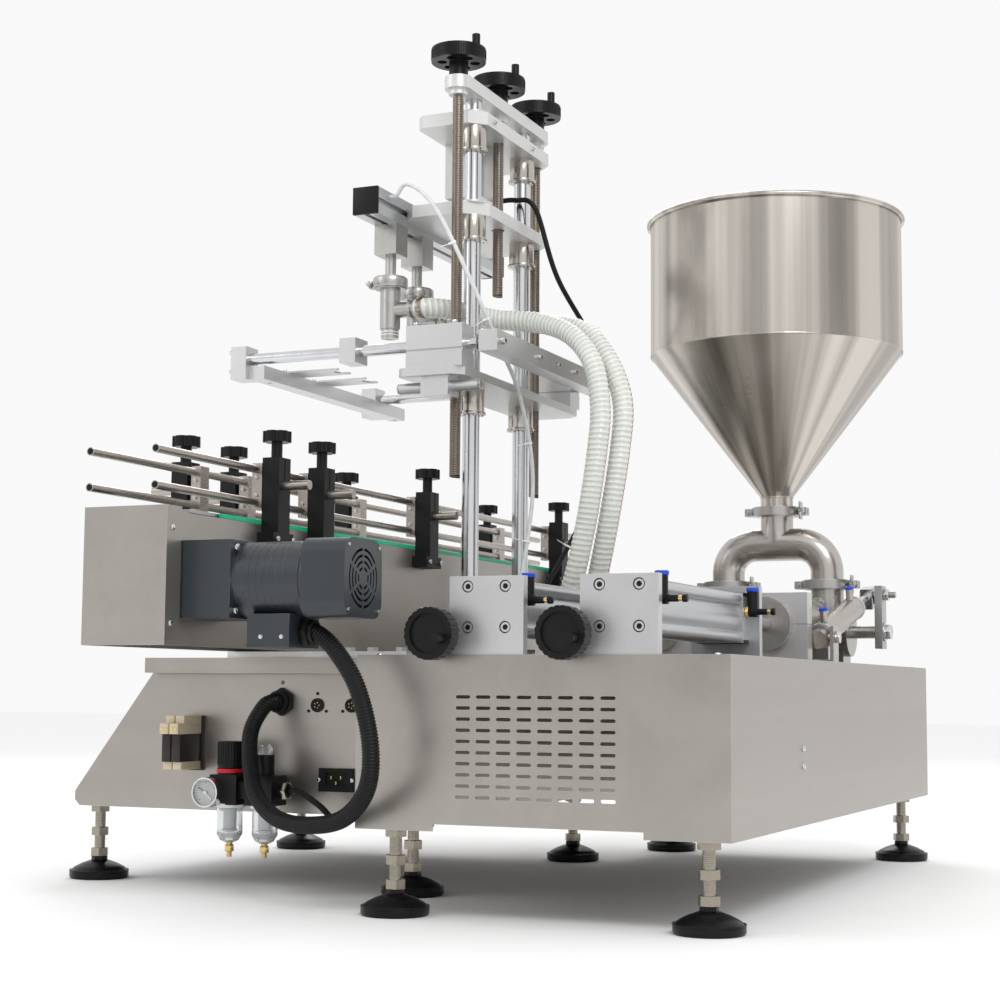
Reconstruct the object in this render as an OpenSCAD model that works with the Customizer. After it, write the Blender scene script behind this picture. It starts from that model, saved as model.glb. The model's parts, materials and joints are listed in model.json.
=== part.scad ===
// Piston liquid filler: two stainless product cylinders pushed by air cylinders,
// a shared rotary valve, a hopper, a bottle conveyor and a diving nozzle head.
// Millimetres, +Z up, origin on the floor at the middle of the machine.

/* [Pump cabinet] */
// Width of the pump cabinet
main_w = 451; // [376:1:541]
// Depth of the pump cabinet
main_d = 1074; // [895:1:1290]
// Height of both cabinets
cab_h = 200; // [167:1:240]
// Sheet thickness
sheet = 2; // [1.5:0.1:3]
// Height from the floor to the cabinets
foot_h = 100; // [84:1:120]

/* [Conveyor] */
// Length of the conveyor
conv_len = 1334; // [1300:1:1600]
// Width of the conveyor over its side plates
conv_w = 110; // [92:1:132]
// Height of the conveyor body
conv_h = 160; // [134:1:192]
// Clear lane between the rails
lane_w = 80; // [67:1:96]
// Guide rail diameter
rail_d = 10; // [8:0.5:12]

/* [Nozzle head] */
// Diameter of the head columns
col_d = 25; // [21:1:30]
// Diameter of the lead screws
screw_d = 16; // [13:1:19]
// Height of the underside of the top bar
bar_z = 1130; // [1120:1:1350]
// Height of the adjustable upper plate
upper_z = 1090; // [1080:1:1100]
// Height of the diving plate
mid_z = 955; // [940:1:965]
// Height of the lower carriage plate
low_z = 697; // [600:1:760]
// Hand wheel diameter
wheel_d = 80; // [67:1:96]

/* [Dosing] */
// Distance between the two dosing lines
line_gap = 160; // [140:1:180]
// Outer diameter of a product cylinder
prod_d = 76; // [64:1:90]
// Diameter of the product pipe
pipe_d = 51; // [42:1:60]
// Hopper diameter
hop_d = 400; // [334:1:480]
// Height of the hopper rim
hop_z = 1014; // [900:1:1100]

/* [Hidden] */
$fn = 48;
clr = 0.3;            // clearance between parts that slide past each other
run = 0.05;           // radial running fit

xb = 504;                       // right side of the pump cabinet
xa = xb - main_w;               // left side, shared with the conveyor stand
ya = -main_d / 2 + 18;
yb = ya + main_d;
top_z = foot_h + cab_h;
stand_y0 = -344;
stand_y1 = 326;
stand_x0 = -362;
panel_y = -324;
toe_x = -484;

conv_x = -172;
conv_z = top_z + 8;
conv_top = conv_z + conv_h;
cx0 = conv_x - conv_w / 2;
cx1 = conv_x + conv_w / 2;
cy0 = -conv_len / 2;
cy1 = conv_len / 2;
motor_y = -590;
motor_z = 384;

head_x = -42;
head_y = 91;
col_y = [head_y - 92, head_y + 92];
scr_y = [head_y - 146, head_y, head_y + 146];
nozzle_y = [-26, 62];
beam_x = -164;
rod_y = [head_y - 205, head_y + 205];
rod_z = low_z + 45;

line_x = [376 - line_gap, 376];
line_z = 354;
vol_x = [line_x[0] - 54, line_x[1] - 54];
vol_z = 323;
valve_y = 433;
pin_top = [433, 411];           // lever pin at rest, Y and Z
piv = [125, 337];               // air cylinder pivot, Y and Z
act_len = norm(pin_top - piv);
act_a = atan2(pin_top[1] - piv[1], pin_top[0] - piv[0]);
lever_x = 465;
act_x = 440;

main_feet = [[xa + 36, ya + 34], [xb - 36, ya + 34],
             [xa + 36, yb - 34], [xb - 36, yb - 34]];
stand_feet = [[-468, -286], [13, -286], [-468, 270], [13, 270]];
feet = concat(main_feet, stand_feet);
rail_z = [490, 532];
rail_x = [conv_x - lane_w / 2 - rail_d / 2, conv_x + lane_w / 2 + rail_d / 2];
station_y = [-444, -329, -14, 499];
hop_x = line_x[0] + line_gap / 2;

// Routes of the hoses and tubes
motor_route = [[22, -590, 324], [36, -590, 324], [62, -591, 305], [92, -592, 262],
  [108, -589, 200], [98, -577, 148], [54, -549, 113], [-10, -515, 101],
  [-75, -476, 104], [-128, -436, 126], [-158, -404, 162], [-172, -382, 205],
  [-166, -362, 236], [-160, -348, 243], [-160, -336, 243]];
hose_route_near = [[-120, -26, 818], [-106, -26, 818], [-84, -10, 818], [-58, 24, 815],
  [-24, 52, 809], [34, 56, 802], [98, 34, 776], [142, 12, 728], [158, 2, 662],
  [156, -4, 600], [140, -4, 500], [112, 10, 405], [64, 80, 348], [10, 170, 332],
  [-20, 330, 332], [-16, 470, 334], [30, 570, 344], [110, 615, 352], [190, 580, 354],
  [216, 520, 354], [216, 495, 354]];
hose_route_far = [[-120, 62, 818], [-106, 62, 818], [-70, 68, 817], [-30, 90, 815],
  [32, 94, 806], [104, 68, 786], [152, 46, 738], [182, 28, 672], [182, 18, 600],
  [166, 16, 500], [138, 40, 410], [104, 110, 368], [60, 200, 366], [22, 330, 370],
  [24, 460, 376], [80, 580, 396], [220, 632, 398], [340, 600, 370], [376, 530, 354],
  [376, 495, 354]];
lift_route = [[-72, 142, 1017], [-72, 150, 1017], [-40, 151, 1017], [-8, 156, 1002],
  [12, 200, 900], [34, 320, 800], [42, 336, 700], [10, 320, 540], [-75, 244, 340],
  [-75, 240, 320], [-75, 240, 300]];
sensor_route = [[-144, -70, 978], [-134, -70, 978], [-112, -76, 992], [-62, -88, 950],
  [-14, -76, 850], [9, -30, 765], [10, 60, 690], [14, 100, 560], [10, 50, 380],
  [10, 44, 330], [10, 44, 300]];
supply_route = [[-122, -370, 131], [-108, -370, 131], [-80, -366, 114], [-72, -346, 96],
  [-72, -336, 92], [-72, -324, 92]];

// A block between two corners
module blk(p, q) translate(p) cube([q[0] - p[0], q[1] - p[1], q[2] - p[2]]);
// Round bars along each axis
module rx(p, d, l) translate(p) rotate([0, 90, 0]) cylinder(d = d, h = l);
module ry(p, d, l) translate(p) rotate([-90, 0, 0]) cylinder(d = d, h = l);
module rz(p, d, l) translate(p) cylinder(d = d, h = l);
// Hexagon along Z
module hexz(p, af, h) translate(p) cylinder(d = af / cos(30), h = h, $fn = 6);
// Socket head screw, head towards +Z, seated at the origin
module socket_screw(d) difference() {
  cylinder(d = 1.6 * d, h = d);
  translate([0, 0, d / 2]) cylinder(d = d, h = d, $fn = 6);
}
// Hexagon head, seated at the origin
module hex_head(d) cylinder(d = 1.7 * d / cos(30), h = 0.65 * d, $fn = 6);
// Tube swept through route points with a ring of sides at each point
function unit(v) = v / norm(v);
function tangent(r, i) =
  i == 0 ? unit(r[1] - r[0]) :
  i == len(r) - 1 ? unit(r[i] - r[i - 1]) :
  unit(unit(r[i] - r[i - 1]) + unit(r[i + 1] - r[i]));
function side(t, u) = unit(u - t * (u * t));
function frames(r, i, u) = i >= len(r) ? [] :
  let (t = tangent(r, i), s = side(t, u))
  concat([[s, cross(t, s)]], frames(r, i + 1, s));
function ring(p, f, d, n) =
  [for (k = [0:n - 1]) p + d / 2 * (cos(k * 360 / n) * f[0] + sin(k * 360 / n) * f[1])];
module tube(r, d, n, up) {
  fr = frames(r, 0, up);
  m = len(r);
  pts = [for (i = [0:m - 1]) each ring(r[i], fr[i], d, n)];
  walls = [for (i = [0:m - 2], k = [0:n - 1])
    [i * n + k, (i + 1) * n + k, (i + 1) * n + (k + 1) % n, i * n + (k + 1) % n]];
  caps = [[for (k = [0:n - 1]) k], [for (k = [0:n - 1]) (m - 1) * n + n - 1 - k]];
  polyhedron(points = pts, faces = concat(walls, caps), convexity = 6);
}

module base_cabinet() color([0.70, 0.69, 0.66]) {
  base_shell();
  for (p = main_feet)
    blk([p[0] - 34, p[1] - 32, foot_h], [p[0] + 34, p[1] + 32, foot_h + 4]);
}
module base_shell() difference() {
  blk([xa, ya, foot_h], [xb, yb, top_z]);
  blk([xa + sheet, ya + sheet, foot_h - 1], [xb - sheet, yb - sheet, top_z - sheet]);
  blk([xa + 99, ya - 1, foot_h - 1], [xb - 99, ya + sheet + 1, foot_h + 8]);
  translate([0, ya + sheet + 1, 0]) rotate([90, 0, 0]) linear_extrude(sheet + 2)
    for (i = [0:7], j = [0:9]) translate([xa + 136 + 25 * i, top_z - 48 - 12.5 * j]) {
      translate([-7, -2]) square([14, 4]);
      translate([-7, 0]) circle(d = 4, $fn = 16);
      translate([7, 0]) circle(d = 4, $fn = 16);
    }
}

// Stand with a sloped left side under a shallow tray
module stand_cabinet() color([0.69, 0.68, 0.65]) {
  difference() {
    union() {
      translate([0, stand_y1 - 20, 0]) rotate([90, 0, 0])
        linear_extrude(stand_y1 - 20 - panel_y)
          polygon([[toe_x + 8, foot_h], [toe_x, foot_h + 8], [toe_x, foot_h + 20],
            [stand_x0, top_z - 20], [xa, top_z - 20], [xa, foot_h]]);
      blk([stand_x0, stand_y0, top_z - 20], [xa, stand_y1, top_z]);
    }
    translate([0, stand_y1 - 20 - sheet, 0]) rotate([90, 0, 0])
      linear_extrude(stand_y1 - 20 - panel_y - 2 * sheet)
        polygon([[toe_x + 8 + sheet, foot_h - 1], [toe_x + sheet, foot_h + 8],
          [toe_x + sheet, foot_h + 20], [stand_x0 + 4 + sheet, top_z - 20],
          [xa - sheet, top_z - 20], [xa - sheet, foot_h - 1]]);
    blk([stand_x0 + sheet, stand_y0 + sheet, top_z - 21],
        [xa - sheet, panel_y, top_z - sheet]);
    blk([stand_x0 + sheet, panel_y + sheet, top_z - 21],
        [xa - sheet, stand_y1 - sheet, top_z - sheet]);
    ry([-160, panel_y - 1, foot_h + 168], 6, sheet + 2);
  }
  for (y = [panel_y + sheet, stand_y1 - 80]) {
    blk([toe_x + 8 + sheet, y, foot_h], [-440, y + 58, foot_h + 4]);
    blk([-20, y, foot_h], [xa - sheet, y + 58, foot_h + 4]);
  }
}

// Pads stand on the floor, studs carry the cabinets
module foot_pads() color([0.07, 0.07, 0.08]) for (p = feet) translate([p[0], p[1], 0])
  difference() {
    rotate_extrude() polygon([[0, 0], [38, 0], [40, 3], [40, 9], [34, 15], [24, 20],
      [13, 24], [0, 24]]);
    translate([0, 0, 12]) cylinder(d = 14, h = 20);
  }
module foot_studs() color([0.66, 0.62, 0.54]) for (p = feet) translate([p[0], p[1], 0]) {
  rz([0, 0, 12], 14, foot_h - 12 - 10);
  hexz([0, 0, 30], 22, 11);
  hexz([0, 0, 58], 22, 11);
  hexz([0, 0, foot_h - 10], 24, 10);
}

// Power inlet, two round sockets and the gland of the motor hose
module panel_fittings() color([0.05, 0.05, 0.06]) {
  translate([-78, panel_y, 144]) difference() {
    blk([-25, -4, -15], [25, 0, 15]);
    blk([-15, -5, -8], [15, -1, 10]);
  }
  for (x = [-108, -58]) translate([x, panel_y, 239]) {
    difference() {
      ry([0, -3, 0], 18, 3);
      ry([0, -4, 0], 12, 2);
    }
    for (a = [90, 210, 330]) ry([15 * cos(a), -1.5, 15 * sin(a)], 4, 1.5);
  }
  ry([-160, -336, 243], 27, panel_y + 336);
}
module relay_block() color([0.72, 0.66, 0.52]) translate([28, 0, 4]) {
  blk([-338, panel_y - 6, 148], [-306, panel_y, 222]);
  for (x = [-336, -321]) blk([x, panel_y - 62, 150], [x + 13.5, panel_y - 6, 212]);
}

// Regulator and lubricator on a bracket of the stand panel
frl_y = panel_y - 46;
frl_x = [-208, -156];
module regulator_body() color([0.06, 0.06, 0.07]) {
  for (x = frl_x) blk([x - 20, frl_y - 19, 112], [x + 20, frl_y + 19, 150]);
  blk([frl_x[0] + 20, frl_y - 12, 120], [frl_x[1] - 20, frl_y + 12, 142]);
  rz([frl_x[0], frl_y, 150], 34, 8);
  rz([frl_x[1], frl_y, 150], 22, 26);
  blk([frl_x[0] + 12, frl_y + 19, 118], [frl_x[1] - 12, panel_y, 144]);
  rx([frl_x[1] + 20, frl_y, 131], 18, 14);
  rx([frl_x[0] - 34, frl_y, 131], 18, 14);
}
module regulator_knob() color([0.06, 0.06, 0.07]) difference() {
  rz([frl_x[0], frl_y, 158 + clr], 34, 34);
  rz([frl_x[0], frl_y, 190], 22, 4);
}
module filter_bowls() color([0.85, 0.87, 0.88]) for (x = frl_x) translate([x, frl_y, 0]) {
  rz([0, 0, 72], 34, 40);
  rz([0, 0, 64], 26, 8);
  rz([0, 0, 48], 8, 16);
}
module pressure_gauge() color([0.75, 0.76, 0.78]) {
  x = frl_x[0] - 16;
  difference() {
    ry([x, frl_y - 37, 128], 38, 18);
    ry([x, frl_y - 38, 128], 34, 6);
  }
  ry([x, frl_y - 35.5, 128], 5, 3.5);
  translate([x, frl_y - 35.5, 128]) rotate([0, 40, 0]) blk([1, 0, -1], [13, 1, 1]);
}

// Side plates, end covers and cross ties of the conveyor
module conveyor_frame() color([0.70, 0.69, 0.66]) difference() {
  union() {
    for (x = [cx0, cx1 - 3]) blk([x, cy0 + 2, conv_z], [x + 3, cy1 - 2, conv_top - 6]);
    for (s = [0, 1]) {
      y = s == 0 ? cy0 : cy1 - 2;
      yl = s == 0 ? cy0 : cy1 - 30;
      blk([cx0 - 2, y, conv_z], [cx1 + 2, y + 2, conv_top]);
      for (x = [cx0 - 2, cx1]) blk([x, yl, conv_z], [x + 2, yl + 30, conv_top]);
    }
    for (y = [-480, -240, 0, 240, 480]) rx([cx0 + 3, y, conv_z + 70], 14, conv_w - 6);
    blk([cx0 + 3, cy0 + 60, conv_top - 22], [cx1 - 3, cy1 - 60, conv_top - 19]);
    blk([cx0 + 3, cy0 + 60, conv_z + 8], [cx1 - 3, cy1 - 60, conv_z + 10]);
  }
  for (y = [motor_y, -motor_y]) rx([cx0 - 3, y, motor_z], 20 + 2 * run, conv_w + 6);
}
module wear_strips() color([0.14, 0.70, 0.50])
  for (x = [cx0, cx1 - 6]) blk([x, cy0 + 120, conv_top - 6], [x + 6, cy1 - 120, conv_top]);

// Slats of the top chain and the return run
module slat_chain() color([0.55, 0.56, 0.57]) {
  n = floor((conv_len - 120) / 38);
  for (i = [0:n - 1]) {
    y = cy0 + 60 + 38 * i;
    blk([cx0 + 7, y, conv_top - 4], [cx1 - 7, y + 38, conv_top]);
    blk([conv_x - 20, y + 6, conv_top - 19], [conv_x + 20, y + 32, conv_top - 4]);
    blk([cx0 + 7, y, conv_z + 10], [cx1 - 7, y + 38, conv_z + 14]);
  }
}
module roller(y, extra) {
  rx([conv_x - 30, y, motor_z], 116, 60);
  rx([cx0 + 1, y, motor_z], 20, conv_w - 1 + extra);
}
module drive_roller() color([0.16, 0.17, 0.18]) roller(motor_y, 24);
module idle_roller() color([0.16, 0.17, 0.18]) roller(-motor_y, 0);

module gear_motor() color([0.20, 0.23, 0.26]) difference() {
  union() {
    blk([cx1, motor_y - 45, motor_z - 45], [cx1 + 67, motor_y + 45, motor_z + 45]);
    rx([cx1 + 67, motor_y, motor_z], 88, 91);
    translate([cx1 + 158, motor_y, motor_z]) rotate([0, 90, 0]) {
      blk([-45, -25, 0], [45, 25, 56]);
      blk([-25, -45, 0], [25, 45, 56]);
      for (u = [-25, 25], v = [-25, 25]) rz([u, v, 0], 40, 56);
    }
    blk([cx1 + 84, motor_y - 34, conv_z - 2], [cx1 + 139, motor_y + 34, motor_z - 40]);
  }
  rx([cx1 + 168, motor_y, motor_z], 78, 43);
  for (r = [10, 17, 24, 31]) translate([cx1 + 209, motor_y, motor_z]) rotate([0, 90, 0])
    difference() {
      cylinder(r = r + 3, h = 8);
      translate([0, 0, -1]) cylinder(r = r, h = 10);
      for (a = [0:60:300]) rotate(a) blk([0, -2, -2], [40, 2, 12]);
    }
  rx([cx1 - 1, motor_y, motor_z], 20 + 2 * run, 30);
}
module motor_fan() color([0.10, 0.11, 0.12]) translate([cx1 + 168.5, motor_y, motor_z])
  rotate([0, 90, 0]) {
    cylinder(d = 24, h = 30);
    for (a = [0:45:315]) rotate(a) blk([11, -1, 2], [36, 1, 28]);
  }
module motor_hose() color([0.05, 0.05, 0.06]) tube(motor_route, 21, 12, [0, 1, 0]);

// Brackets on the conveyor side plates with clamp heads for the cross rods
module rail_posts() color([0.06, 0.06, 0.07])
  for (y = station_y, s = [-1, 1]) {
    x = s < 0 ? cx0 - 24 : cx1;
    difference() {
      union() {
        blk([x, y - 14, 436], [x + 24, y + 14, 546]);
        blk([x, y - 24, 436], [x + 24, y + 24, 452]);
      }
      rx([x - 1, y, 511], 12 + 2 * run, 26);
      blk([x - 1, y - 1, 517], [x + 25, y + 1, 547]);
    }
  }
module rail_knobs() color([0.05, 0.05, 0.06])
  for (y = station_y, s = [-1, 1]) translate([s < 0 ? cx0 - 12 : cx1 + 12, y, 546]) {
    cylinder(d = 14, h = 20);
    translate([0, 0, 20]) difference() {
      cylinder(d = 36, h = 14);
      for (a = [0:60:300]) rotate(a) translate([20, 0, -1]) cylinder(d = 9, h = 16, $fn = 24);
    }
  }
module rail_pair(x, s) {
  for (z = rail_z) ry([x, -676, z], rail_d, 1352);
  for (y = station_y) {
    difference() {
      blk([x - 7, y - 10, 482], [x + 7, y + 10, 540]);
      for (z = rail_z) ry([x, y - 11, z], rail_d, 22);
    }
    rx([s < 0 ? cx0 - 60 : x + 7, y, 511], 12, s < 0 ? x - 7 - cx0 + 60 : cx1 + 60 - x - 7);
  }
}
module left_rails() color([0.66, 0.63, 0.60]) rail_pair(rail_x[0], -1);
module right_rails() color([0.66, 0.63, 0.60]) rail_pair(rail_x[1], 1);

module head_columns() color([0.86, 0.87, 0.89]) for (y = col_y) {
  rz([head_x, y, top_z], col_d, bar_z - top_z);
  difference() {
    rz([head_x, y, top_z], 50, 22);
    rz([head_x, y, top_z - 1], col_d, 24);
  }
}
module rounded_bar(w, y0, y1, h) {
  blk([-w / 2, y0, 0], [w / 2, y1, h]);
  for (y = [y0, y1]) rz([0, y, 0], w, h);
}
module top_bar() color([0.88, 0.88, 0.87]) difference() {
  union() {
    translate([head_x, 0, bar_z]) rounded_bar(40, scr_y[0], scr_y[2], 19);
    for (y = scr_y) rz([head_x, y, bar_z - 8], 28, 8);
  }
  for (y = scr_y) rz([head_x, y, bar_z - 9], 12 + 2 * run, 40);
}

// Lead screw with a turned journal in the top bar and a hand wheel above it
module lead_screw(y, z0) {
  rz([head_x, y, z0], screw_d, bar_z - 8 - clr - z0);
  rz([head_x, y, bar_z - 9], 12, 30 + 26);
}
module hand_wheel(y) translate([head_x, y, bar_z + 19 + clr]) difference() {
  union() {
    cylinder(d = 28, h = 40);
    translate([0, 0, 22]) difference() {
      cylinder(d = wheel_d, h = 20);
      translate([0, 0, 12]) cylinder(d = wheel_d - 14, h = 10);
      for (a = [30:60:330]) rotate(a) translate([24, 0, -1]) cylinder(d = 14, h = 30);
    }
    rotate(60) translate([wheel_d / 2 - 9, 0, 30]) cylinder(d = 12, h = 42);
  }
  translate([0, 0, -1]) cylinder(d = 12, h = 42);
}
module screw_near() color([0.52, 0.47, 0.41]) lead_screw(scr_y[0], 560);
module screw_middle() color([0.52, 0.47, 0.41]) lead_screw(scr_y[1], 851);
module screw_far() color([0.52, 0.47, 0.41]) lead_screw(scr_y[2], 560);
module wheel_near() color([0.06, 0.06, 0.07]) hand_wheel(scr_y[0]);
module wheel_middle() color([0.06, 0.06, 0.07]) hand_wheel(scr_y[1]);
module wheel_far() color([0.06, 0.06, 0.07]) hand_wheel(scr_y[2]);

// Head plate with chamfered corners on the screw side
module head_plate(x0, y0, x1, y1, c, h) linear_extrude(h)
  polygon([[x0, y0 + c / 2], [x0 + c / 2, y0], [x1 - c, y0], [x1, y0 + c],
    [x1, y1 - c], [x1 - c, y1], [x0 + c / 2, y1], [x0, y1 - c / 2]]);
// Flanged bushes of one plate, hanging below it
module bush_pair(z) for (y = col_y) difference() {
  union() {
    rz([head_x, y, z - 38], 38, 38);
    rz([head_x, y, z - 38], 42, 4);
  }
  rz([head_x, y, z - 39], col_d + 2 * run, 40);
}
module upper_plate() color([0.87, 0.87, 0.86]) {
  difference() {
    translate([0, 0, upper_z]) head_plate(-124, -27, -17, 253, 22, 19);
    for (y = col_y) rz([head_x, y, upper_z - 1], col_d + 2 * clr, 22);
    rz([head_x, scr_y[1], upper_z - 1], screw_d + 2 * run, 22);
    rz([head_x, scr_y[2], upper_z - 1], screw_d + 3, 22);
  }
  bush_pair(upper_z);
}
module lift_cylinder() color([0.86, 0.87, 0.88]) difference() {
  union() {
    blk([-118, head_y - 29, mid_z + 50], [-60, head_y + 29, upper_z]);
    for (z = [mid_z + 62, upper_z - 14]) ry([-72, head_y + 29, z], 12, 22);
  }
  rz([-89, head_y, mid_z + 49], 20 + 2 * run, 60);
}
module dive_plate() color([0.87, 0.87, 0.86]) {
  difference() {
    translate([0, 0, mid_z]) head_plate(-144, -30, -17, 253, 34, 18);
    for (y = col_y) rz([head_x, y, mid_z - 1], col_d + 2 * clr, 22);
    rz([head_x, scr_y[1], mid_z - 1], screw_d + 4, 22);
    rz([head_x, scr_y[2], mid_z - 1], screw_d + 3, 22);
  }
  rz([-89, head_y, mid_z + 18], 20, 84);
  bush_pair(mid_z);
}

// Slotted aluminium beam with plastic end caps
module nozzle_beam() color([0.78, 0.79, 0.80]) translate([beam_x, 0, mid_z + 10]) {
  difference() {
    blk([-20, -105, -20], [20, 342, 20]);
    for (a = [0:90:270]) rotate([0, a, 0]) blk([-4, -106, 14], [4, 343, 21]);
  }
  for (y = [-109, 342]) blk([-20, y, -20], [20, y + 4, 20]);
}
// Shut-off cylinders, stand-offs and T shaped product bodies
module nozzle_bodies() color([0.74, 0.74, 0.73]) for (y = nozzle_y) difference() {
  union() {
    blk([beam_x - 18, y - 19, 900], [beam_x + 18, y + 19, mid_z - 10]);
    rz([beam_x, y, 868], 16, 32);
    rz([beam_x, y, 859.2], 46, 9);
    rz([beam_x, y, 850], 46, 8.8);
    rz([beam_x, y, 790], 30, 60);
    rz([beam_x, y, 776], 26, 14);
    rx([beam_x, y, 818], 24, 44);
    rx([beam_x + 34, y, 818], 30, 4);
  }
  rz([beam_x, y, 775], 12, 90);
  rz([beam_x, y, 865], 8 + 2 * run, 72);
  rx([beam_x, y, 818], 16, 45);
}
module plunger(y) {
  rz([beam_x, y, 790], 8, 130);
  rz([beam_x, y, 776.5], 11.4, 14);
}
module plunger_near() color([0.80, 0.80, 0.80]) plunger(nozzle_y[0]);
module plunger_far() color([0.80, 0.80, 0.80]) plunger(nozzle_y[1]);

// Lower carriage on the columns, raised by the outer lead screws
module low_carriage() color([0.86, 0.86, 0.85]) {
  difference() {
    translate([0, 0, low_z]) head_plate(-95, rod_y[0] - 24, 4, rod_y[1] + 24, 16, 12);
    for (y = col_y) rz([head_x, y, low_z - 1], col_d + 2 * clr, 20);
    for (y = [scr_y[0], scr_y[2]]) rz([head_x, y, low_z - 1], screw_d + 2 * run, 20);
  }
  for (y = rod_y) difference() {
    blk([-83, y - 20, low_z + 12], [4, y + 20, low_z + 72]);
    rx([-84, y, rod_z], 16 + 2 * run, 100);
    blk([-84, y - 21, low_z + 34], [10, y - 17, low_z + 38]);
    blk([-84, y + 17, low_z + 34], [10, y + 21, low_z + 38]);
  }
  blk([-60, rod_y[0] - 18, low_z - 28], [-18, rod_y[0] + 18, low_z]);
  rx([-100, rod_y[0], low_z - 14], 16, 40);
  rx([-18, rod_y[0], low_z - 14], 16, 40);
  bush_pair(low_z);
}
// Two rods joined by a bar and two end blocks
module slide_frame() color([0.86, 0.87, 0.88]) {
  for (y = rod_y) rx([-346, y, rod_z], 16, 374);
  blk([28, rod_y[0] - 17, rod_z - 15], [56, rod_y[1] + 17, rod_z + 15]);
  for (y = rod_y) blk([-372, y - 17, rod_z - 31], [-346, y + 17, rod_z + 18]);
  blk([-190, rod_y[0] - 19, rod_z - 18], [-164, rod_y[0] + 19, rod_z + 18]);
}
// Bar under the slide rods with thin neck plates
module bottle_locator() color([0.84, 0.84, 0.84]) {
  difference() {
    blk([-346, rod_y[0] - 8, rod_z - 31], [-320, rod_y[1] + 40, rod_z - 11]);
    for (y = [rod_y[0] + 30, rod_y[1] + 28]) rz([-333, y, rod_z - 32], 7, 22);
  }
  for (y = nozzle_y) difference() {
    blk([-346, y - 22, rod_z - 11], [-240, y + 22, rod_z - 8]);
    rz([-240, y, rod_z - 12], 30, 6);
  }
}

// Flat plates: front plates of the air cylinders, screw bearings, clamps, conveyor seats
module mount_plates() color([0.83, 0.84, 0.84]) {
  for (i = [0, 1]) {
    translate([line_x[i], ya + 14, line_z]) {
      difference() {
        blk([-46, -12, top_z - line_z], [46, 0, 35]);
        for (u = [-23.25, 23.25], v = [-23.25, 23.25]) ry([u, -13, v], 14, 9);
      }
      for (u = [-23.25, 23.25], v = [-23.25, 23.25])
        translate([u, -4, v]) rotate([90, 0, 0]) socket_screw(7);
    }
    difference() {
      blk([vol_x[i] - 14, ya + 18, top_z], [vol_x[i] + 12, ya + 44, vol_z + 14]);
      ry([vol_x[i], ya + 17, vol_z], 12 + 2 * run, 30);
    }
  }
  for (x = line_x, y = [81, 256]) difference() {
    blk([x - (y < 200 ? 58 : 44), y, top_z],
        [x + (y < 200 ? 58 : 44), y + 25, y < 200 ? line_z + 44 : line_z - clr]);
    ry([x, y - 1, line_z], prod_d + 0.1, 27);
    if (y < 200) blk([x - 59, y - 1, line_z - clr], [x + 59, y + 26, line_z + clr]);
  }
  for (y = [stand_y0 + 6, stand_y1 - 70]) {
    blk([cx0 - 10, y, top_z], [26, y + 64, conv_z]);
    for (x = [-62, -29, 12]) translate([x, y + 14, conv_z]) hex_head(8);
  }
}
module air_cylinders() color([0.62, 0.64, 0.66]) for (x = line_x) translate([x, 0, line_z])
  difference() {
    union() {
      ry([0, ya + 42, 0], 58, 332);
      for (u = [-24, 24], v = [-24, 24]) ry([u, ya + 42, v], 15, 332);
      for (y = [ya + 14, ya + 374]) blk([-32, y, -32], [32, y + 28, 32]);
      blk([-46, ya + 402, top_z - line_z], [46, ya + 414, 42]);
    }
    ry([0, ya + 44, 0], 50, 328);
    ry([0, ya + 370, 0], 20 + 2 * run, 50);
  }
// Elbows with flow screws on the cylinder heads
module air_fittings() color([0.05, 0.05, 0.06]) {
  for (x = line_x, y = [ya + 28, ya + 388]) translate([x + 32, y, line_z + 8]) {
    rx([0, 0, 0], 13, 16);
    rz([9, 0, 0], 14, 26);
    rx([16, 0, 0], 8, 12);
  }
}
// Volume wheels with their adjusting screws
module volume_wheel(x) {
  difference() {
    ry([x, ya - 38, vol_z], 60, 20);
    ry([x, ya - 39, vol_z], 46, 5);
    for (a = [0:15:345]) ry([x + 31 * cos(a), ya - 39, vol_z + 31 * sin(a)], 4, 22);
  }
  ry([x, ya - 18, vol_z], 24, 12);
  ry([x + 18, ya - 58, vol_z - 6], 11, 24);
  ry([x, ya - 6, vol_z], 12, 66);
}
module volume_wheel_a() color([0.06, 0.06, 0.07]) volume_wheel(vol_x[0]);
module volume_wheel_b() color([0.06, 0.06, 0.07]) volume_wheel(vol_x[1]);

// Rod with the air piston in front and the product piston behind
module piston(x) {
  ry([x, ya + 60, line_z], 50 - 2 * run, 18);
  ry([x, ya + 78, line_z], 20, 77 - ya - 78);
  ry([x, 77, line_z], prod_d - 6 - 2 * run, 28);
}
module piston_a() color([0.80, 0.80, 0.81]) piston(line_x[0]);
module piston_b() color([0.80, 0.80, 0.81]) piston(line_x[1]);

module product_cylinders() color([0.66, 0.65, 0.62]) for (x = line_x) difference() {
  union() {
    ry([x, 67, line_z], prod_d, 214);
    ry([x, 281, line_z], 90, 12);
    ry([x, 293, line_z], pipe_d, 50);
    ry([x, 343, line_z], 64, 8);
  }
  ry([x, 70, line_z], prod_d - 6, 208);
  ry([x, 66, line_z], 20 + 2 * run, 10);
  ry([x, 270, line_z], pipe_d - 4, 82);
}
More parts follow.
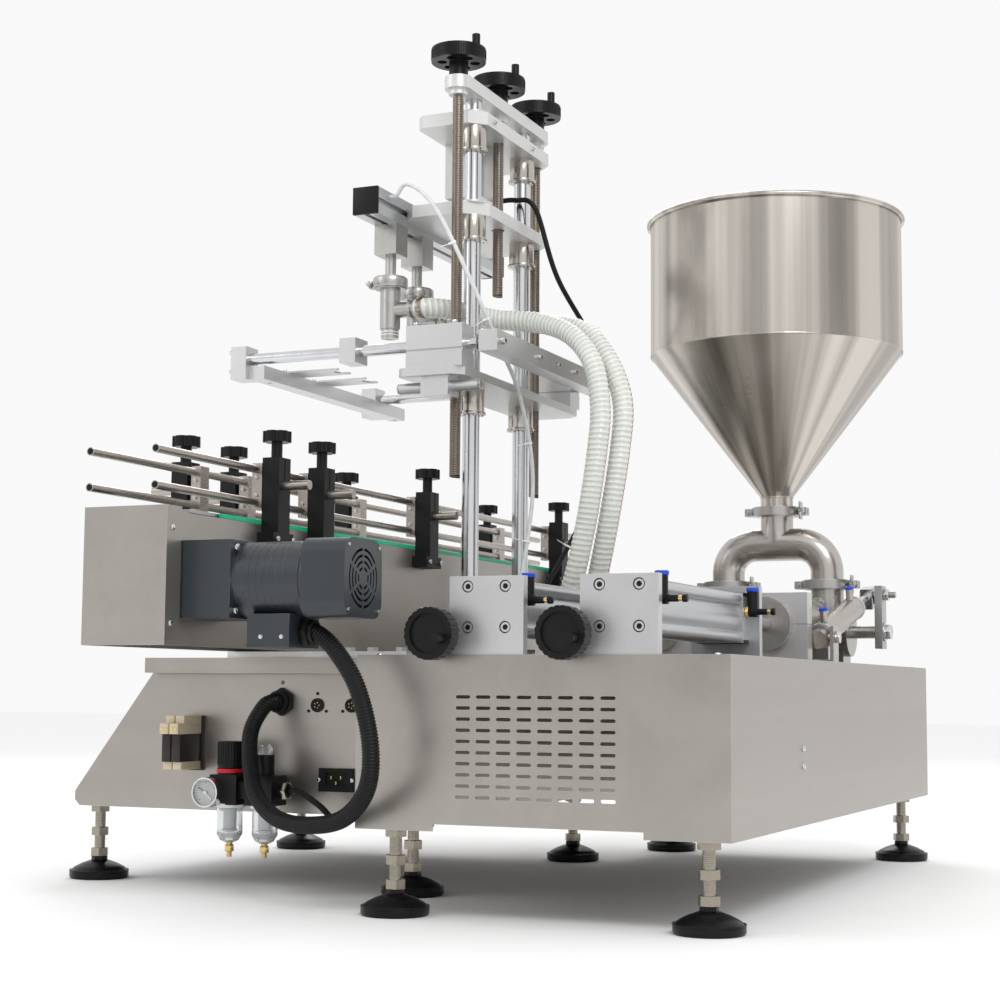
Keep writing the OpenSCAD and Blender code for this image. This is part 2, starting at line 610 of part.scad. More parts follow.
// Three way valve bodies, their necks and the brackets of the actuator
module valve_bodies() color([0.68, 0.67, 0.64]) {
  for (x = line_x) difference() {
    union() {
      rx([x - 38, valve_y, line_z], 76, 76);
      ry([x, 359, line_z], pipe_d, valve_y - 359);
      ry([x, 351, line_z], 64, 8);
      ry([x, valve_y + 30, line_z], 30, 32);
      rz([x, valve_y, line_z], pipe_d, 68);
      rz([x, valve_y, line_z + 66], 64, 8);
      blk([x - 30, valve_y - 24, top_z], [x + 30, valve_y + 24, line_z - 30]);
    }
    rx([x - 40, valve_y, line_z], 40 + 2 * run, 80);
    ry([x, 350, line_z], pipe_d - 4, 80);
    ry([x, valve_y, line_z], 24, 63);
    rz([x, valve_y, line_z], pipe_d - 4, 80);
  }
  blk([act_x - 23, piv[0] - 15, top_z], [act_x + 23, piv[0] + 15, top_z + 6]);
  for (x = [act_x - 23, act_x + 18]) difference() {
    blk([x, piv[0] - 15, top_z + 6], [x + 5, piv[0] + 15, piv[1] + 15]);
    rx([x - 1, piv[0], piv[1]], 10 + 2 * run, 7);
  }
}
// Common spindle with its two plugs and the lever
module valve_lever() color([0.78, 0.79, 0.79]) {
  for (x = line_x) rx([x - 38, valve_y, line_z], 40, 76);
  rx([line_x[0], valve_y, line_z], 20, lever_x - 12 - line_x[0]);
  blk([lever_x - 12, valve_y - 15, line_z - 26], [lever_x, valve_y + 15, pin_top[1] + 14]);
  rx([lever_x, valve_y, line_z], 20, 10);
  rx([act_x - 12, pin_top[0], pin_top[1]], 10, lever_x - act_x + 30);
}
module along_actuator() translate([act_x, piv[0], piv[1]]) rotate([act_a, 0, 0]) children();
module valve_actuator() color([0.78, 0.78, 0.79]) {
  along_actuator() difference() {
    union() {
      ry([0, 12, 0], 34, 200);
      ry([0, -16, 0], 26, 28);
      for (y = [30, 195]) rz([0, y, 14], 11, 18);
    }
    ry([0, 30, 0], 28, 160);
    ry([0, 180, 0], 12 + 2 * run, 40);
  }
  rx([act_x - 23, piv[0], piv[1]], 10, 46);
}
// Rod with a slotted eye, so the straight line coupling never binds on the pin
module actuator_rod() color([0.82, 0.82, 0.83]) along_actuator() {
  ry([0, 100, 0], 28 - 2 * run, 12);
  ry([0, 112, 0], 12, act_len - 112 - 14);
  difference() {
    blk([-9, act_len - 14, -20], [9, act_len + 12, 12]);
    for (z = [0.1, -7.6]) rx([-10, act_len - 0.8, z], 12.8, 20);
    blk([-10, act_len - 7.2, -7.6], [10, act_len + 5.6, 0.1]);
  }
}

// Hopper shell: rolled rim, cylinder, cone and outlet
module hopper() color([0.72, 0.70, 0.67]) translate([hop_x, valve_y, 0]) rotate_extrude($fn = 96) {
  r = hop_d / 2;
  o = pipe_d / 2;
  polygon([[o, 545], [o, 568], [r, hop_z - 217], [r, hop_z], [r - 2, hop_z],
    [r - 2, hop_z - 216], [o - 2, 569], [o - 2, 545]]);
  translate([r + 2, hop_z - 3]) circle(d = 8, $fn = 24);
  translate([o - 2, 545]) square([8.5, 6]);
}
// Two part pipe clamp with screw ears, and the clamps of every pipe joint
module tri_clamp() {
  difference() {
    cylinder(d = 78, h = 14);
    translate([0, 0, -1]) cylinder(d = 64.2, h = 16);
    blk([-45, -1.5, -1], [45, 1.5, 15]);
  }
  for (s = [-1, 1]) {
    blk([s > 0 ? 37 : -50, -10, 1], [s > 0 ? 50 : -37, -1.5, 13]);
    blk([s > 0 ? 37 : -50, 1.5, 1], [s > 0 ? 50 : -37, 10, 13]);
    translate([44 * s, -14, 7]) rotate([-90, 0, 0]) cylinder(d = 6, h = 30);
  }
}
module tri_clamps() color([0.62, 0.61, 0.59]) {
  translate([hop_x, valve_y, 538]) tri_clamp();
  for (x = line_x) translate([x, valve_y, 421]) tri_clamp();
  for (x = line_x) translate([x, 344, line_z]) rotate([-90, 0, 0]) rotate(90) tri_clamp();
}
// U pipe under the hopper
module manifold() color([0.70, 0.68, 0.65]) difference() {
  union() {
    rz([hop_x, valve_y, 493], pipe_d, 44);
    rz([hop_x, valve_y, 537], 64, 8);
    rx([line_x[0] + 45, valve_y, 493], pipe_d, line_gap - 90);
    for (s = [0, 1]) translate([line_x[s] + (s == 0 ? 45 : -45), valve_y, 448])
      rotate([90, 0, 0]) rotate(s == 0 ? 90 : 0)
        rotate_extrude(angle = 90) translate([45, 0]) circle(d = pipe_d);
    for (x = line_x) {
      rz([x, valve_y, 436], pipe_d, 12);
      rz([x, valve_y, 428], 64, 8);
    }
  }
  rz([hop_x, valve_y, 493], pipe_d - 4, 60);
  for (x = line_x) rz([x, valve_y, 420], pipe_d - 4, 28);
}
module hose_near() color([0.86, 0.88, 0.84]) tube(hose_route_near, 30, 12, [0, 0, 1]);
module hose_far() color([0.86, 0.88, 0.84]) tube(hose_route_far, 30, 12, [0, 0, 1]);
module lift_tube() color([0.04, 0.04, 0.05]) tube(lift_route, 8, 8, [0, 0, 1]);
module sensor_tube() color([0.80, 0.81, 0.82]) tube(sensor_route, 6, 8, [0, 1, 0]);
module supply_tube() color([0.04, 0.04, 0.05]) tube(supply_route, 8, 8, [0, 0, 1]);

base_cabinet();
stand_cabinet();
foot_pads();
foot_studs();
panel_fittings();
relay_block();
regulator_body();
regulator_knob();
filter_bowls();
pressure_gauge();
conveyor_frame();
wear_strips();
slat_chain();
drive_roller();
idle_roller();
gear_motor();
motor_fan();
motor_hose();
rail_posts();
rail_knobs();
left_rails();
right_rails();
head_columns();
top_bar();
screw_near();
screw_middle();
screw_far();
wheel_near();
wheel_middle();
wheel_far();
upper_plate();
lift_cylinder();
dive_plate();
nozzle_beam();
nozzle_bodies();
plunger_near();
plunger_far();
low_carriage();
slide_frame();
bottle_locator();
mount_plates();
air_cylinders();
air_fittings();
volume_wheel_a();
volume_wheel_b();
piston_a();
piston_b();
product_cylinders();
valve_bodies();
valve_lever();
valve_actuator();
actuator_rod();
hopper();
manifold();
tri_clamps();
hose_near();
hose_far();
lift_tube();
sensor_tube();
supply_tube();
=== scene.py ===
"""Looks of a piston liquid filler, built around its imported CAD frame.

Every piece is in metres in the frame's own axes: +Z up, +Y along the conveyor,
+X from the conveyor towards the pump cabinet.
"""

from __future__ import annotations

import json
import logging
import math
from dataclasses import dataclass, field
from enum import Enum
from itertools import product
from typing import Any, Callable, Iterable, Sequence, Union

import bmesh
import bpy
from mathutils import Matrix, Vector

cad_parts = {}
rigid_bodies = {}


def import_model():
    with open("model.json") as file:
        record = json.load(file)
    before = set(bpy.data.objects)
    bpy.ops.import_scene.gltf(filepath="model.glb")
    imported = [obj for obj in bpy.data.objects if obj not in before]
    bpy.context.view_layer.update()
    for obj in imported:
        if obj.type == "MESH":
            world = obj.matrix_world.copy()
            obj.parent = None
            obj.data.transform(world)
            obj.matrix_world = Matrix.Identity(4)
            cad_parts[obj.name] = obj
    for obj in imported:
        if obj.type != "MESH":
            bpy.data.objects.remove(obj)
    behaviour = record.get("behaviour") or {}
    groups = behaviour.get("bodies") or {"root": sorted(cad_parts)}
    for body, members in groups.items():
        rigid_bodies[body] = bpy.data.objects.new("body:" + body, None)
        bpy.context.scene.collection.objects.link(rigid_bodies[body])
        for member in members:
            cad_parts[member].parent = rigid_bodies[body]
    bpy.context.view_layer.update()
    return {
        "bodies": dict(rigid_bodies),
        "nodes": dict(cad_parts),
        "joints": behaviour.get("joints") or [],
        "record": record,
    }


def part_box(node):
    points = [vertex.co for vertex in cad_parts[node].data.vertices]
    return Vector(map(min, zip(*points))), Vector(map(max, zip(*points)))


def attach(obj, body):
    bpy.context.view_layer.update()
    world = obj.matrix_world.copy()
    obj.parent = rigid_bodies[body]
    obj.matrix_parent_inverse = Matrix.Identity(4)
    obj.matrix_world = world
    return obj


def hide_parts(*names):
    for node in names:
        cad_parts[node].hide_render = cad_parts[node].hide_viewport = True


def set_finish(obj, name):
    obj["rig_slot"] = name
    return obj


LOG = logging.getLogger("liquid_filler")
MM = 0.001
FULL_TURN = 2 * math.pi
Colour = tuple[float, float, float]
Point = Sequence[float]


class Axis(Enum):
    """A direction of the frame."""

    X = (1.0, 0.0, 0.0)
    Y = (0.0, 1.0, 0.0)
    Z = (0.0, 0.0, 1.0)
    LEFT = (-1.0, 0.0, 0.0)
    FRONT = (0.0, -1.0, 0.0)
    DOWN = (0.0, 0.0, -1.0)


class Slot(Enum):
    """The record's material slots that new pieces take their finish from."""

    SHEET = "stainless_sheet"
    CLAMP = "clamp_steel"
    PLATE = "aluminium_plate"
    GROUND = "ground_steel"
    SCREW = "lead_screw_steel"
    TUBE = "stainless_tube"
    BLACK = "black_plastic"
    RUBBER = "foot_rubber"
    MOTOR = "motor_paint"
    CYLINDER = "cylinder_grey"
    CHAIN = "chain_steel"
    RELAY = "relay_case"
    GAUGE = "gauge_metal"
    BOWL = "bowl_clear"
    HOSE = "hose_clear"
    CORD = "cord_black"
    WHITE = "tube_white"


Way = Union[Axis, Point]


# ---------------------------------------------------------------- shader maths


class Value:
    """A shader value whose arithmetic adds Math nodes."""

    def __init__(self, book: "NodeBook", socket: bpy.types.NodeSocket) -> None:
        """Wraps one output socket.

        Args:
            book: The material under construction.
            socket: The output that carries the value.
        """
        self.book = book
        self.socket = socket

    def _math(self, operation: str, *terms: Union["Value", float]) -> "Value":
        """Adds one Math node and returns its result."""
        inputs = {i: term for i, term in enumerate(terms)}
        return self.book.node("ShaderNodeMath", {"operation": operation}, inputs)

    def __add__(self, other: Union["Value", float]) -> "Value":
        """self + other."""
        return self._math("ADD", self, other)

    def __sub__(self, other: Union["Value", float]) -> "Value":
        """self - other."""
        return self._math("SUBTRACT", self, other)

    def __mul__(self, other: Union["Value", float]) -> "Value":
        """self * other."""
        return self._math("MULTIPLY", self, other)

    def __truediv__(self, other: Union["Value", float]) -> "Value":
        """self / other."""
        return self._math("DIVIDE", self, other)

    def __rsub__(self, other: float) -> "Value":
        """other - self."""
        return self._math("SUBTRACT", other, self)

    __radd__ = __add__
    __rmul__ = __mul__

    def power(self, exponent: float) -> "Value":
        """self raised to a power."""
        return self._math("POWER", self, exponent)

    def sine(self) -> "Value":
        """Sine of self, in radians."""
        return self._math("SINE", self)

    def over(self, edge: Union["Value", float]) -> "Value":
        """1 where self is larger than edge, else 0."""
        return self._math("GREATER_THAN", self, edge)

    def angle_with(self, other: "Value") -> "Value":
        """The angle of the point (other, self) about the origin."""
        return self._math("ARCTAN2", self, other)

    def ramp(self, low: float, high: float) -> "Value":
        """0 up to low, 1 from high on, smooth between."""
        settings = {"interpolation_type": "SMOOTHSTEP"}
        inputs = {"Value": self, "From Min": low, "From Max": high}
        return self.book.node("ShaderNodeMapRange", settings, inputs)


class NodeBook:
    """One material and its node tree."""

    def __init__(self, name: str) -> None:
        """Starts a material with a Principled shader."""
        self.material = bpy.data.materials.new(name)
        self.material.use_nodes = True
        self.tree = self.material.node_tree
        self.shader = self.tree.nodes["Principled BSDF"]
        self._coords: Union[bpy.types.Node, None] = None

    def node(
        self,
        kind: str,
        settings: dict[str, Any],
        inputs: dict[Any, Any],
        out: Union[str, int] = 0,
    ) -> Value:
        """Adds a node.

        Args:
            kind: The node's type.
            settings: Properties that are set first.
            inputs: Values or links by socket name or number.
            out: Name or number of the output that is returned.

        Returns:
            The chosen output.
        """
        made = self.tree.nodes.new(kind)
        for key, value in settings.items():
            setattr(made, key, value)
        for key, value in inputs.items():
            self.feed(made.inputs[key], value)
        return Value(self, made.outputs[out])

    def feed(self, socket: bpy.types.NodeSocket, value: Any) -> None:
        """Links a Value to a socket, or sets the socket's own number."""
        if isinstance(value, Value):
            self.tree.links.new(value.socket, socket)
        else:
            socket.default_value = value

    def place(self) -> Value:
        """The object coordinates."""
        return self.node("ShaderNodeTexCoord", {}, {}, "Object")

    def uv(self) -> Value:
        """The piece's own UV map."""
        return self.node("ShaderNodeUVMap", {"uv_map": "along"}, {})

    def even(self, scale: float) -> Value:
        """Object coordinates scaled alike along each axis."""
        return self.scaled((scale, scale, scale))

    def scaled(self, factors: Point, shift: Point = (0.0, 0.0, 0.0)) -> Value:
        """Object coordinates, shifted and then scaled along each axis."""
        moved = self.node(
            "ShaderNodeVectorMath",
            {"operation": "SUBTRACT"},
            {0: self.place(), 1: tuple(shift)},
        )
        return self.node(
            "ShaderNodeVectorMath",
            {"operation": "MULTIPLY"},
            {0: moved, 1: tuple(factors)},
        )

    def split(self, vector: Value) -> tuple[Value, Value, Value]:
        """The three parts of a vector."""
        made = self.tree.nodes.new("ShaderNodeSeparateXYZ")
        self.feed(made.inputs[0], vector)
        return tuple(Value(self, output) for output in made.outputs)

    def join(self, x: Any, y: Any, z: Any) -> Value:
        """A vector of three values."""
        return self.node("ShaderNodeCombineXYZ", {}, {0: x, 1: y, 2: z})

    def noise(self, where: Value, detail: float = 2.0, twist: float = 0.0) -> Value:
        """Noise of size 1 in the given coordinates."""
        inputs = {"Vector": where, "Scale": 1.0, "Detail": detail, "Distortion": twist}
        return self.node("ShaderNodeTexNoise", {}, inputs)

    def mix(self, share: Value, low: Colour, high: Colour) -> Value:
        """A colour between two, low at 0 and high at 1."""
        return self.blend(share, (*low, 1.0), (*high, 1.0))

    def blend(self, share: Value, low: Any, high: Any) -> Value:
        """A mix of two colours that may themselves vary."""
        return self.node(
            "ShaderNodeMix",
            {"data_type": "RGBA"},
            {"Factor": share, 6: low, 7: high},
            2,
        )

    def edge(self, reach: float) -> Value:
        """1 along sharp edges, falling to 0 within reach of them."""
        rounded = self.node(
            "ShaderNodeBevel", {"samples": 4}, {"Radius": reach}, "Normal"
        )
        plain = self.node("ShaderNodeNewGeometry", {}, {}, "Normal")
        made = self.node(
            "ShaderNodeVectorMath",
            {"operation": "DOT_PRODUCT"},
            {0: rounded, 1: plain},
            "Value",
        )
        return (1.0 - made).ramp(0.02, 0.30)

    def relief(self, height: Value, distance: float, strength: float = 1.0) -> None:
        """Feeds a Bump of the given depth in metres to the shader."""
        bump = self.node(
            "ShaderNodeBump",
            {},
            {"Height": height, "Distance": distance, "Strength": strength},
        )
        self.feed(self.shader.inputs["Normal"], bump)

    def finish(self, colour: Any, rough: Any, **constants: float) -> bpy.types.Material:
        """Feeds the shader and returns the material.

        Args:
            colour: A colour, or a Value that varies.
            rough: A roughness, or a Value that varies.
            **constants: Other sockets, with spaces written as underscores.

        Returns:
            The finished material.
        """
        flat = colour if isinstance(colour, Value) else (*colour, 1.0)
        self.feed(self.shader.inputs["Base Color"], flat)
        self.feed(self.shader.inputs["Roughness"], rough)
        for key, value in constants.items():
            self.shader.inputs[key.replace("_", " ")].default_value = value
        return self.material


def shade(colour: Colour, factor: float) -> Colour:
    """A colour made lighter or darker."""
    return tuple(min(1.0, channel * factor) for channel in colour)


# ---------------------------------------------------------------- finishes


@dataclass(frozen=True)
class BrushedSteel:
    """Stainless sheet brushed along one axis, with handling smudges."""

    name: str
    colour: Colour
    grain: Axis = Axis.Y
    rough: float = 0.34
    smudge: float = 0.16

    def build(self) -> bpy.types.Material:
        """Makes the material."""
        book = NodeBook(self.name)
        along = Vector(self.grain.value)
        fine = book.noise(book.scaled([14 if a else 1500 for a in along]), 3.0)
        streak = book.noise(book.scaled([1.6 if a else 70 for a in along]), 2.0)
        wipe = book.noise(book.scaled((7, 7, 9)), 5.0, 1.6)
        cloud = book.noise(book.scaled((2.1, 2.1, 2.6)), 2.0)
        share = fine * 0.35 + streak * 0.40 + wipe.ramp(0.35, 0.7) * 0.25
        colour = book.mix(share, shade(self.colour, 0.80), shade(self.colour, 1.16))
        worn = book.mix(cloud, shade(self.colour, 0.92), shade(self.colour, 1.06))
        colour = book.blend(cloud * 0.5, colour, worn)
        # Painted highlight: sharp edges are lightened towards near white.
        colour = book.blend(book.edge(0.0012) * 0.5, colour, (0.86, 0.85, 0.83, 1.0))
        rough = self.rough + (fine - 0.5) * 0.16 + (wipe - 0.5) * self.smudge
        book.relief(fine + streak * 0.5, 0.00006)
        return book.finish(colour, rough, Metallic=0.92, Anisotropic=0.35)


@dataclass(frozen=True)
class SpunSteel:
    """Stainless shell spun about an upright axis, with painted upright reflection bands."""

    name: str
    colour: Colour
    centre: tuple[float, float]
    rough: float = 0.24

    def build(self) -> bpy.types.Material:
        """Makes the material."""
        book = NodeBook(self.name)
        x, y, z = book.split(book.scaled((1, 1, 1), (*self.centre, 0.0)))
        turn = y.angle_with(x)
        # Painted reflection: upright light and dark bands round the shell stand in for the
        # surroundings mirrored in the spun steel.
        bands = book.noise(book.join(turn * 4.6, z * 0.25, 0.4), 3.0)
        hair = book.noise(book.join(turn * 1.5, z * 1400, 0.0), 2.0)
        brush = book.noise(book.join(turn * 90, z * 2, 3.0), 2.0)
        stain = book.noise(book.scaled((7, 7, 9)), 3.0, 0.6)
        share = bands.ramp(0.36, 0.64) * 0.74 + hair * 0.06 + brush * 0.12 + stain * 0.08
        colour = book.mix(share, shade(self.colour, 0.62), shade(self.colour, 1.34))
        rough = self.rough + (bands - 0.5) * 0.12 + (hair - 0.5) * 0.06 + (stain - 0.5) * 0.05
        book.relief(hair + brush, 0.00002)
        return book.finish(colour, rough, Metallic=0.95, Anisotropic=0.45)


@dataclass(frozen=True)
class BlastedPlate:
    """Aluminium plate, bead blasted and clear anodised, with milled edges painted lighter as a
    highlight.
    """

    name: str
    colour: Colour
    rough: float = 0.38
    metal: float = 0.55

    def build(self) -> bpy.types.Material:
        """Makes the material."""
        book = NodeBook(self.name)
        bead = book.noise(book.even(2600), 2.0)
        mill = book.noise(book.scaled((900, 25, 25)), 1.0)
        haze = book.noise(book.even(12), 4.0, 0.8)
        share = bead * 0.35 + mill * 0.25 + haze * 0.4
        colour = book.mix(share, shade(self.colour, 0.88), shade(self.colour, 1.08))
        # Painted highlight: the milled edges are lightened towards near white.
        colour = book.blend(book.edge(0.0009) * 0.6, colour, (0.93, 0.93, 0.93, 1.0))
        rough = self.rough + (bead - 0.5) * 0.12 + (haze - 0.5) * 0.16
        book.relief(bead + mill * 0.4, 0.00005)
        return book.finish(colour, rough, Metallic=self.metal)


@dataclass(frozen=True)
class GroundBar:
    """Ground and plated bar with a thin oil film."""

    name: str
    colour: Colour
    rough: float = 0.14

    def build(self) -> bpy.types.Material:
        """Makes the material."""
        book = NodeBook(self.name)
        lay = book.noise(book.scaled((260, 260, 3200)), 2.0)
        film = book.noise(book.scaled((30, 30, 8)), 4.0, 1.0)
        colour = book.mix(film, shade(self.colour, 0.84), shade(self.colour, 1.05))
        # Painted highlight: sharp edges are lightened towards pale grey.
        colour = book.blend(book.edge(0.0007) * 0.5, colour, (0.9, 0.9, 0.9, 1.0))
        rough = self.rough + film.ramp(0.4, 0.75) * 0.12 + (lay - 0.5) * 0.07
        book.relief(lay, 0.00003)
        return book.finish(colour, rough, Metallic=1.0)


@dataclass(frozen=True)
class CrestedThread:
    """Rolled thread, lighter on the crests and darker in the roots."""

    name: str
    crest: Colour
    root: Colour

    def build(self) -> bpy.types.Material:
        """Makes the material."""
        book = NodeBook(self.name)
        depth = book.node("ShaderNodeAttribute", {"attribute_name": "crest"}, {}, "Fac")
        blotch = book.noise(book.scaled((60, 60, 22)), 4.0, 1.0)
        grit = book.noise(book.even(1400), 1.0)
        share = depth * 0.65 + blotch * 0.35
        colour = book.mix(share, self.root, self.crest)
        rough = 0.42 - depth * 0.14 + (grit - 0.5) * 0.2
        book.relief(grit, 0.00004)
        return book.finish(colour, rough, Metallic=0.85)


@dataclass(frozen=True)
class Moulded:
    """Moulded plastic or rubber with a fine spark finish and light scuffs."""

    name: str
    colour: Colour
    rough: float = 0.45
    grain: float = 1400.0
    depth: float = 0.00008
    scuff: float = 0.16
    gloss: float = 0.22

    def build(self) -> bpy.types.Material:
        """Makes the material."""
        book = NodeBook(self.name)
        spark = book.noise(book.scaled([self.grain] * 3), 2.0)
        dust = book.noise(book.even(26), 5.0, 0.7)
        light = tuple(min(1.0, c * 1.4 + 0.006) for c in self.colour)
        mask = dust.ramp(0.45, 0.8) * self.scuff + (spark - 0.5) * 0.2
        colour = book.mix(mask, self.colour, light)
        rub = book.edge(0.0008) * self.scuff
        colour = book.blend(rub, colour, (*tuple(c * 1.5 + 0.02 for c in self.colour), 1.0))
        rough = self.rough + (spark - 0.5) * 0.14 + (dust - 0.5) * 0.2
        book.relief(spark, self.depth)
        return book.finish(colour, rough, Specular_IOR_Level=self.gloss)


@dataclass(frozen=True)
class StovedPaint:
    """Satin paint over a cast or pressed metal housing."""

    name: str
    colour: Colour

    def build(self) -> bpy.types.Material:
        """Makes the material."""
        book = NodeBook(self.name)
        peel = book.noise(book.even(520), 2.0)
        dust = book.noise(book.scaled((14, 14, 18)), 5.0, 0.6)
        colour = book.mix(
            dust * 0.7 + peel * 0.3, shade(self.colour, 0.82), shade(self.colour, 1.25)
        )
        chip = book.edge(0.001) * dust.ramp(0.45, 0.65)
        colour = book.blend(chip * 0.6, colour, (0.34, 0.36, 0.38, 1.0))
        rough = 0.36 + (peel - 0.5) * 0.16 + (dust - 0.5) * 0.2
        book.relief(peel, 0.0001)
        return book.finish(colour, rough, Coat_Weight=0.15, Coat_Roughness=0.25)


@dataclass(frozen=True)
class ClearMoulding:
    """Clear moulded plastic with a faint haze."""

    name: str
    colour: Colour
    clear: float = 0.9

    def build(self) -> bpy.types.Material:
        """Makes the material."""
        book = NodeBook(self.name)
        haze = book.noise(book.scaled((45, 45, 60)), 4.0, 0.8)
        ripple = book.noise(book.scaled((160, 160, 60)), 2.0)
        colour = book.mix(haze, shade(self.colour, 0.94), shade(self.colour, 1.04))
        book.relief(ripple, 0.00008)
        rough = 0.05 + haze.ramp(0.4, 0.8) * 0.12
        return book.finish(colour, rough, Transmission_Weight=self.clear, IOR=1.45)


@dataclass(frozen=True)
class SpiralHose:
    """Clear hose with a hard white helix and a coloured stripe."""

    name: str
    pitch: float
    stripe: Colour

    def build(self) -> bpy.types.Material:
        """Makes the material."""
        book = NodeBook(self.name)
        along, around, _ = book.split(book.uv())
        wave = ((along / self.pitch - around) * FULL_TURN).sine() * 0.5 + 0.5
        rib = wave.ramp(0.45, 0.85)
        haze = book.noise(book.even(35), 4.0, 0.6)
        wall = book.mix(haze, (0.60, 0.64, 0.58), (0.78, 0.81, 0.75))
        colour = book.blend(rib, wall, (0.90, 0.91, 0.87, 1.0))
        near = (around - 0.18).power(2.0)
        line = 1.0 - near.ramp(0.00025, 0.0006)
        colour = book.blend(line * (1.0 - rib * 0.35), colour, (*self.stripe, 1.0))
        rough = 0.20 + rib * 0.14 + (haze - 0.5) * 0.14
        book.relief(haze, 0.0002)
        return book.finish(colour, rough, Transmission_Weight=0.22, IOR=1.5)


@dataclass(frozen=True)
class RibbedSleeve:
    """Black corrugated sleeve, dusty in its valleys."""

    name: str
    colour: Colour
    pitch: float

    def build(self) -> bpy.types.Material:
        """Makes the material."""
        book = NodeBook(self.name)
        along, _, _ = book.split(book.uv())
        wave = (along * (FULL_TURN / self.pitch)).sine() * 0.5 + 0.5
        dust = book.noise(book.even(40), 4.0, 0.5)
        share = (1.0 - wave) * 0.35 + dust.ramp(0.4, 0.8) * 0.3
        colour = book.mix(share, self.colour, tuple(c * 1.2 + 0.006 for c in self.colour))
        rough = 0.34 + (1.0 - wave) * 0.2 + (dust - 0.5) * 0.15
        book.relief(dust, 0.0001)
        return book.finish(colour, rough, Specular_IOR_Level=0.22)


class Finishes:
    """Every material of the machine, made once."""

    def __init__(self) -> None:
        """Makes all the materials."""
        warm = (0.40, 0.375, 0.345)
        made = {
            "cabinet": BrushedSteel("cabinet_sheet", warm, Axis.Y),
            "stand": BrushedSteel("stand_sheet", shade(warm, 0.98), Axis.X),
            "conveyor": BrushedSteel("conveyor_sheet", warm, Axis.Y, 0.38),
            "pipe": BrushedSteel("pipe_steel", (0.50, 0.475, 0.445), Axis.X, 0.24, 0.1),
            "product": BrushedSteel("cylinder_steel", (0.46, 0.44, 0.41), Axis.Y, 0.26),
            "cast": BrushedSteel("tumbled_clamp", (0.46, 0.45, 0.435), Axis.Z, 0.30),
            "drawn": BrushedSteel("drawn_tube", (0.44, 0.40, 0.365), Axis.Y, 0.28),
            "stud": BrushedSteel("foot_stud", (0.34, 0.305, 0.25), Axis.Z, 0.26),
            "chain": BrushedSteel("worn_chain", (0.42, 0.42, 0.42), Axis.Y, 0.32),
            "hopper": SpunSteel("hopper_shell", (0.50, 0.465, 0.425), HOPPER_XY),
            "plate": BlastedPlate("blasted_plate", (0.60, 0.60, 0.60), 0.34, 0.80),
            "white": BlastedPlate("pale_plate", (0.66, 0.66, 0.65), 0.40, 0.55),
            "profile": BlastedPlate("drawn_profile", (0.52, 0.53, 0.54), 0.32, 0.8),
            "barrel": BlastedPlate("cylinder_barrel", (0.50, 0.51, 0.53), 0.30, 0.7),
            "ground": GroundBar("ground_bar", (0.66, 0.67, 0.69)),
            "bush": GroundBar("nickel_bush", (0.52, 0.49, 0.44), 0.18),
            "brass": GroundBar("turned_brass", (0.78, 0.58, 0.25), 0.22),
            "thread": CrestedThread("rolled_thread", (0.36, 0.31, 0.26), (0.13, 0.11, 0.09)),
            "bright": CrestedThread("plated_thread", (0.44, 0.40, 0.34), (0.18, 0.16, 0.13)),
            "black": Moulded("black_moulding", (0.007, 0.007, 0.008), 0.42),
            "knob": Moulded("knob_moulding", (0.006, 0.006, 0.006), 0.32),
            "rubber": Moulded("pad_rubber", (0.005, 0.005, 0.006), 0.34, 900, 0.0001, 0.2),
            "roller": Moulded("roller_paint", (0.05, 0.05, 0.055), 0.45),
            "blue": Moulded("release_ring", (0.02, 0.07, 0.55), 0.32, 1800),
            "cyan": Moulded("port_ring", (0.10, 0.55, 0.70), 0.35, 1800),
            "red": Moulded("lock_ring", (0.60, 0.02, 0.03), 0.35, 1800),
            "cream": Moulded("cream_moulding", (0.62, 0.53, 0.38), 0.42),
            "smoke": Moulded("smoked_case", (0.035, 0.030, 0.028), 0.16, 900, 0.00003),
            "dial": Moulded("dial_card", (0.86, 0.87, 0.86), 0.5, 2000, 0.00002, 0.05),
            "tie": Moulded("tie_nylon", (0.84, 0.85, 0.84), 0.38),
            "strip": Moulded("green_strip", (0.02, 0.42, 0.22), 0.34, 900, 0.00006, 0.5),
            "motor": StovedPaint("motor_paint", (0.018, 0.023, 0.028)),
            "clear": ClearMoulding("clear_bowl", (0.93, 0.95, 0.96)),
            "glass": ClearMoulding("gauge_glass", (0.97, 0.98, 0.98), 1.0),
            "hose": SpiralHose("spiral_hose", HELIX_PITCH, (0.55, 0.05, 0.07)),
            "sleeve": RibbedSleeve("ribbed_sleeve", (0.005, 0.005, 0.006), RIB_PITCH),
            "air": RibbedSleeve("air_tube", (0.008, 0.008, 0.009), 0.02),
            "sensor": RibbedSleeve("sensor_tube", (0.62, 0.63, 0.64), 0.02),
        }
        self.made = {key: recipe.build() for key, recipe in made.items()}

    def __getitem__(self, key: str) -> bpy.types.Material:
        """The material of that name."""
        return self.made[key]


HELIX_PITCH = 0.0075
RIB_PITCH = 0.0036
HOPPER_XY = (0.296, 0.433)
HELIX_DEPTH = 0.0009
RIB_DEPTH = 0.0013
CURVE_STEPS = 24  # straight steps between two points of a route
RAIL_X = {"left_rails": -0.217, "right_rails": -0.127}
RAIL_Z = (0.490, 0.532)
STATIONS = (-0.444, -0.329, -0.014, 0.499)  # rail brackets along the conveyor
WHEEL_RIBS = 72
KNOB_RIBS = 30
DIVE_TOP = 0.012  # the dive plate's top below the top of the beam
DIVE_BUSH = 0.030 + 0.038  # the ends of its bushes below the top of the beam
ROD_Z = 0.742  # middle of the locator's slide rods
LINE_Z = 0.354  # middle of both dosing lines
VALVE_Y = 0.433  # middle of the valve spindle
PIN_Z = 0.411  # clevis pin of the valve lever
PIVOT_YZ = (0.125, 0.337)  # rear pivot of the valve's air cylinder


# ---------------------------------------------------------------- makers


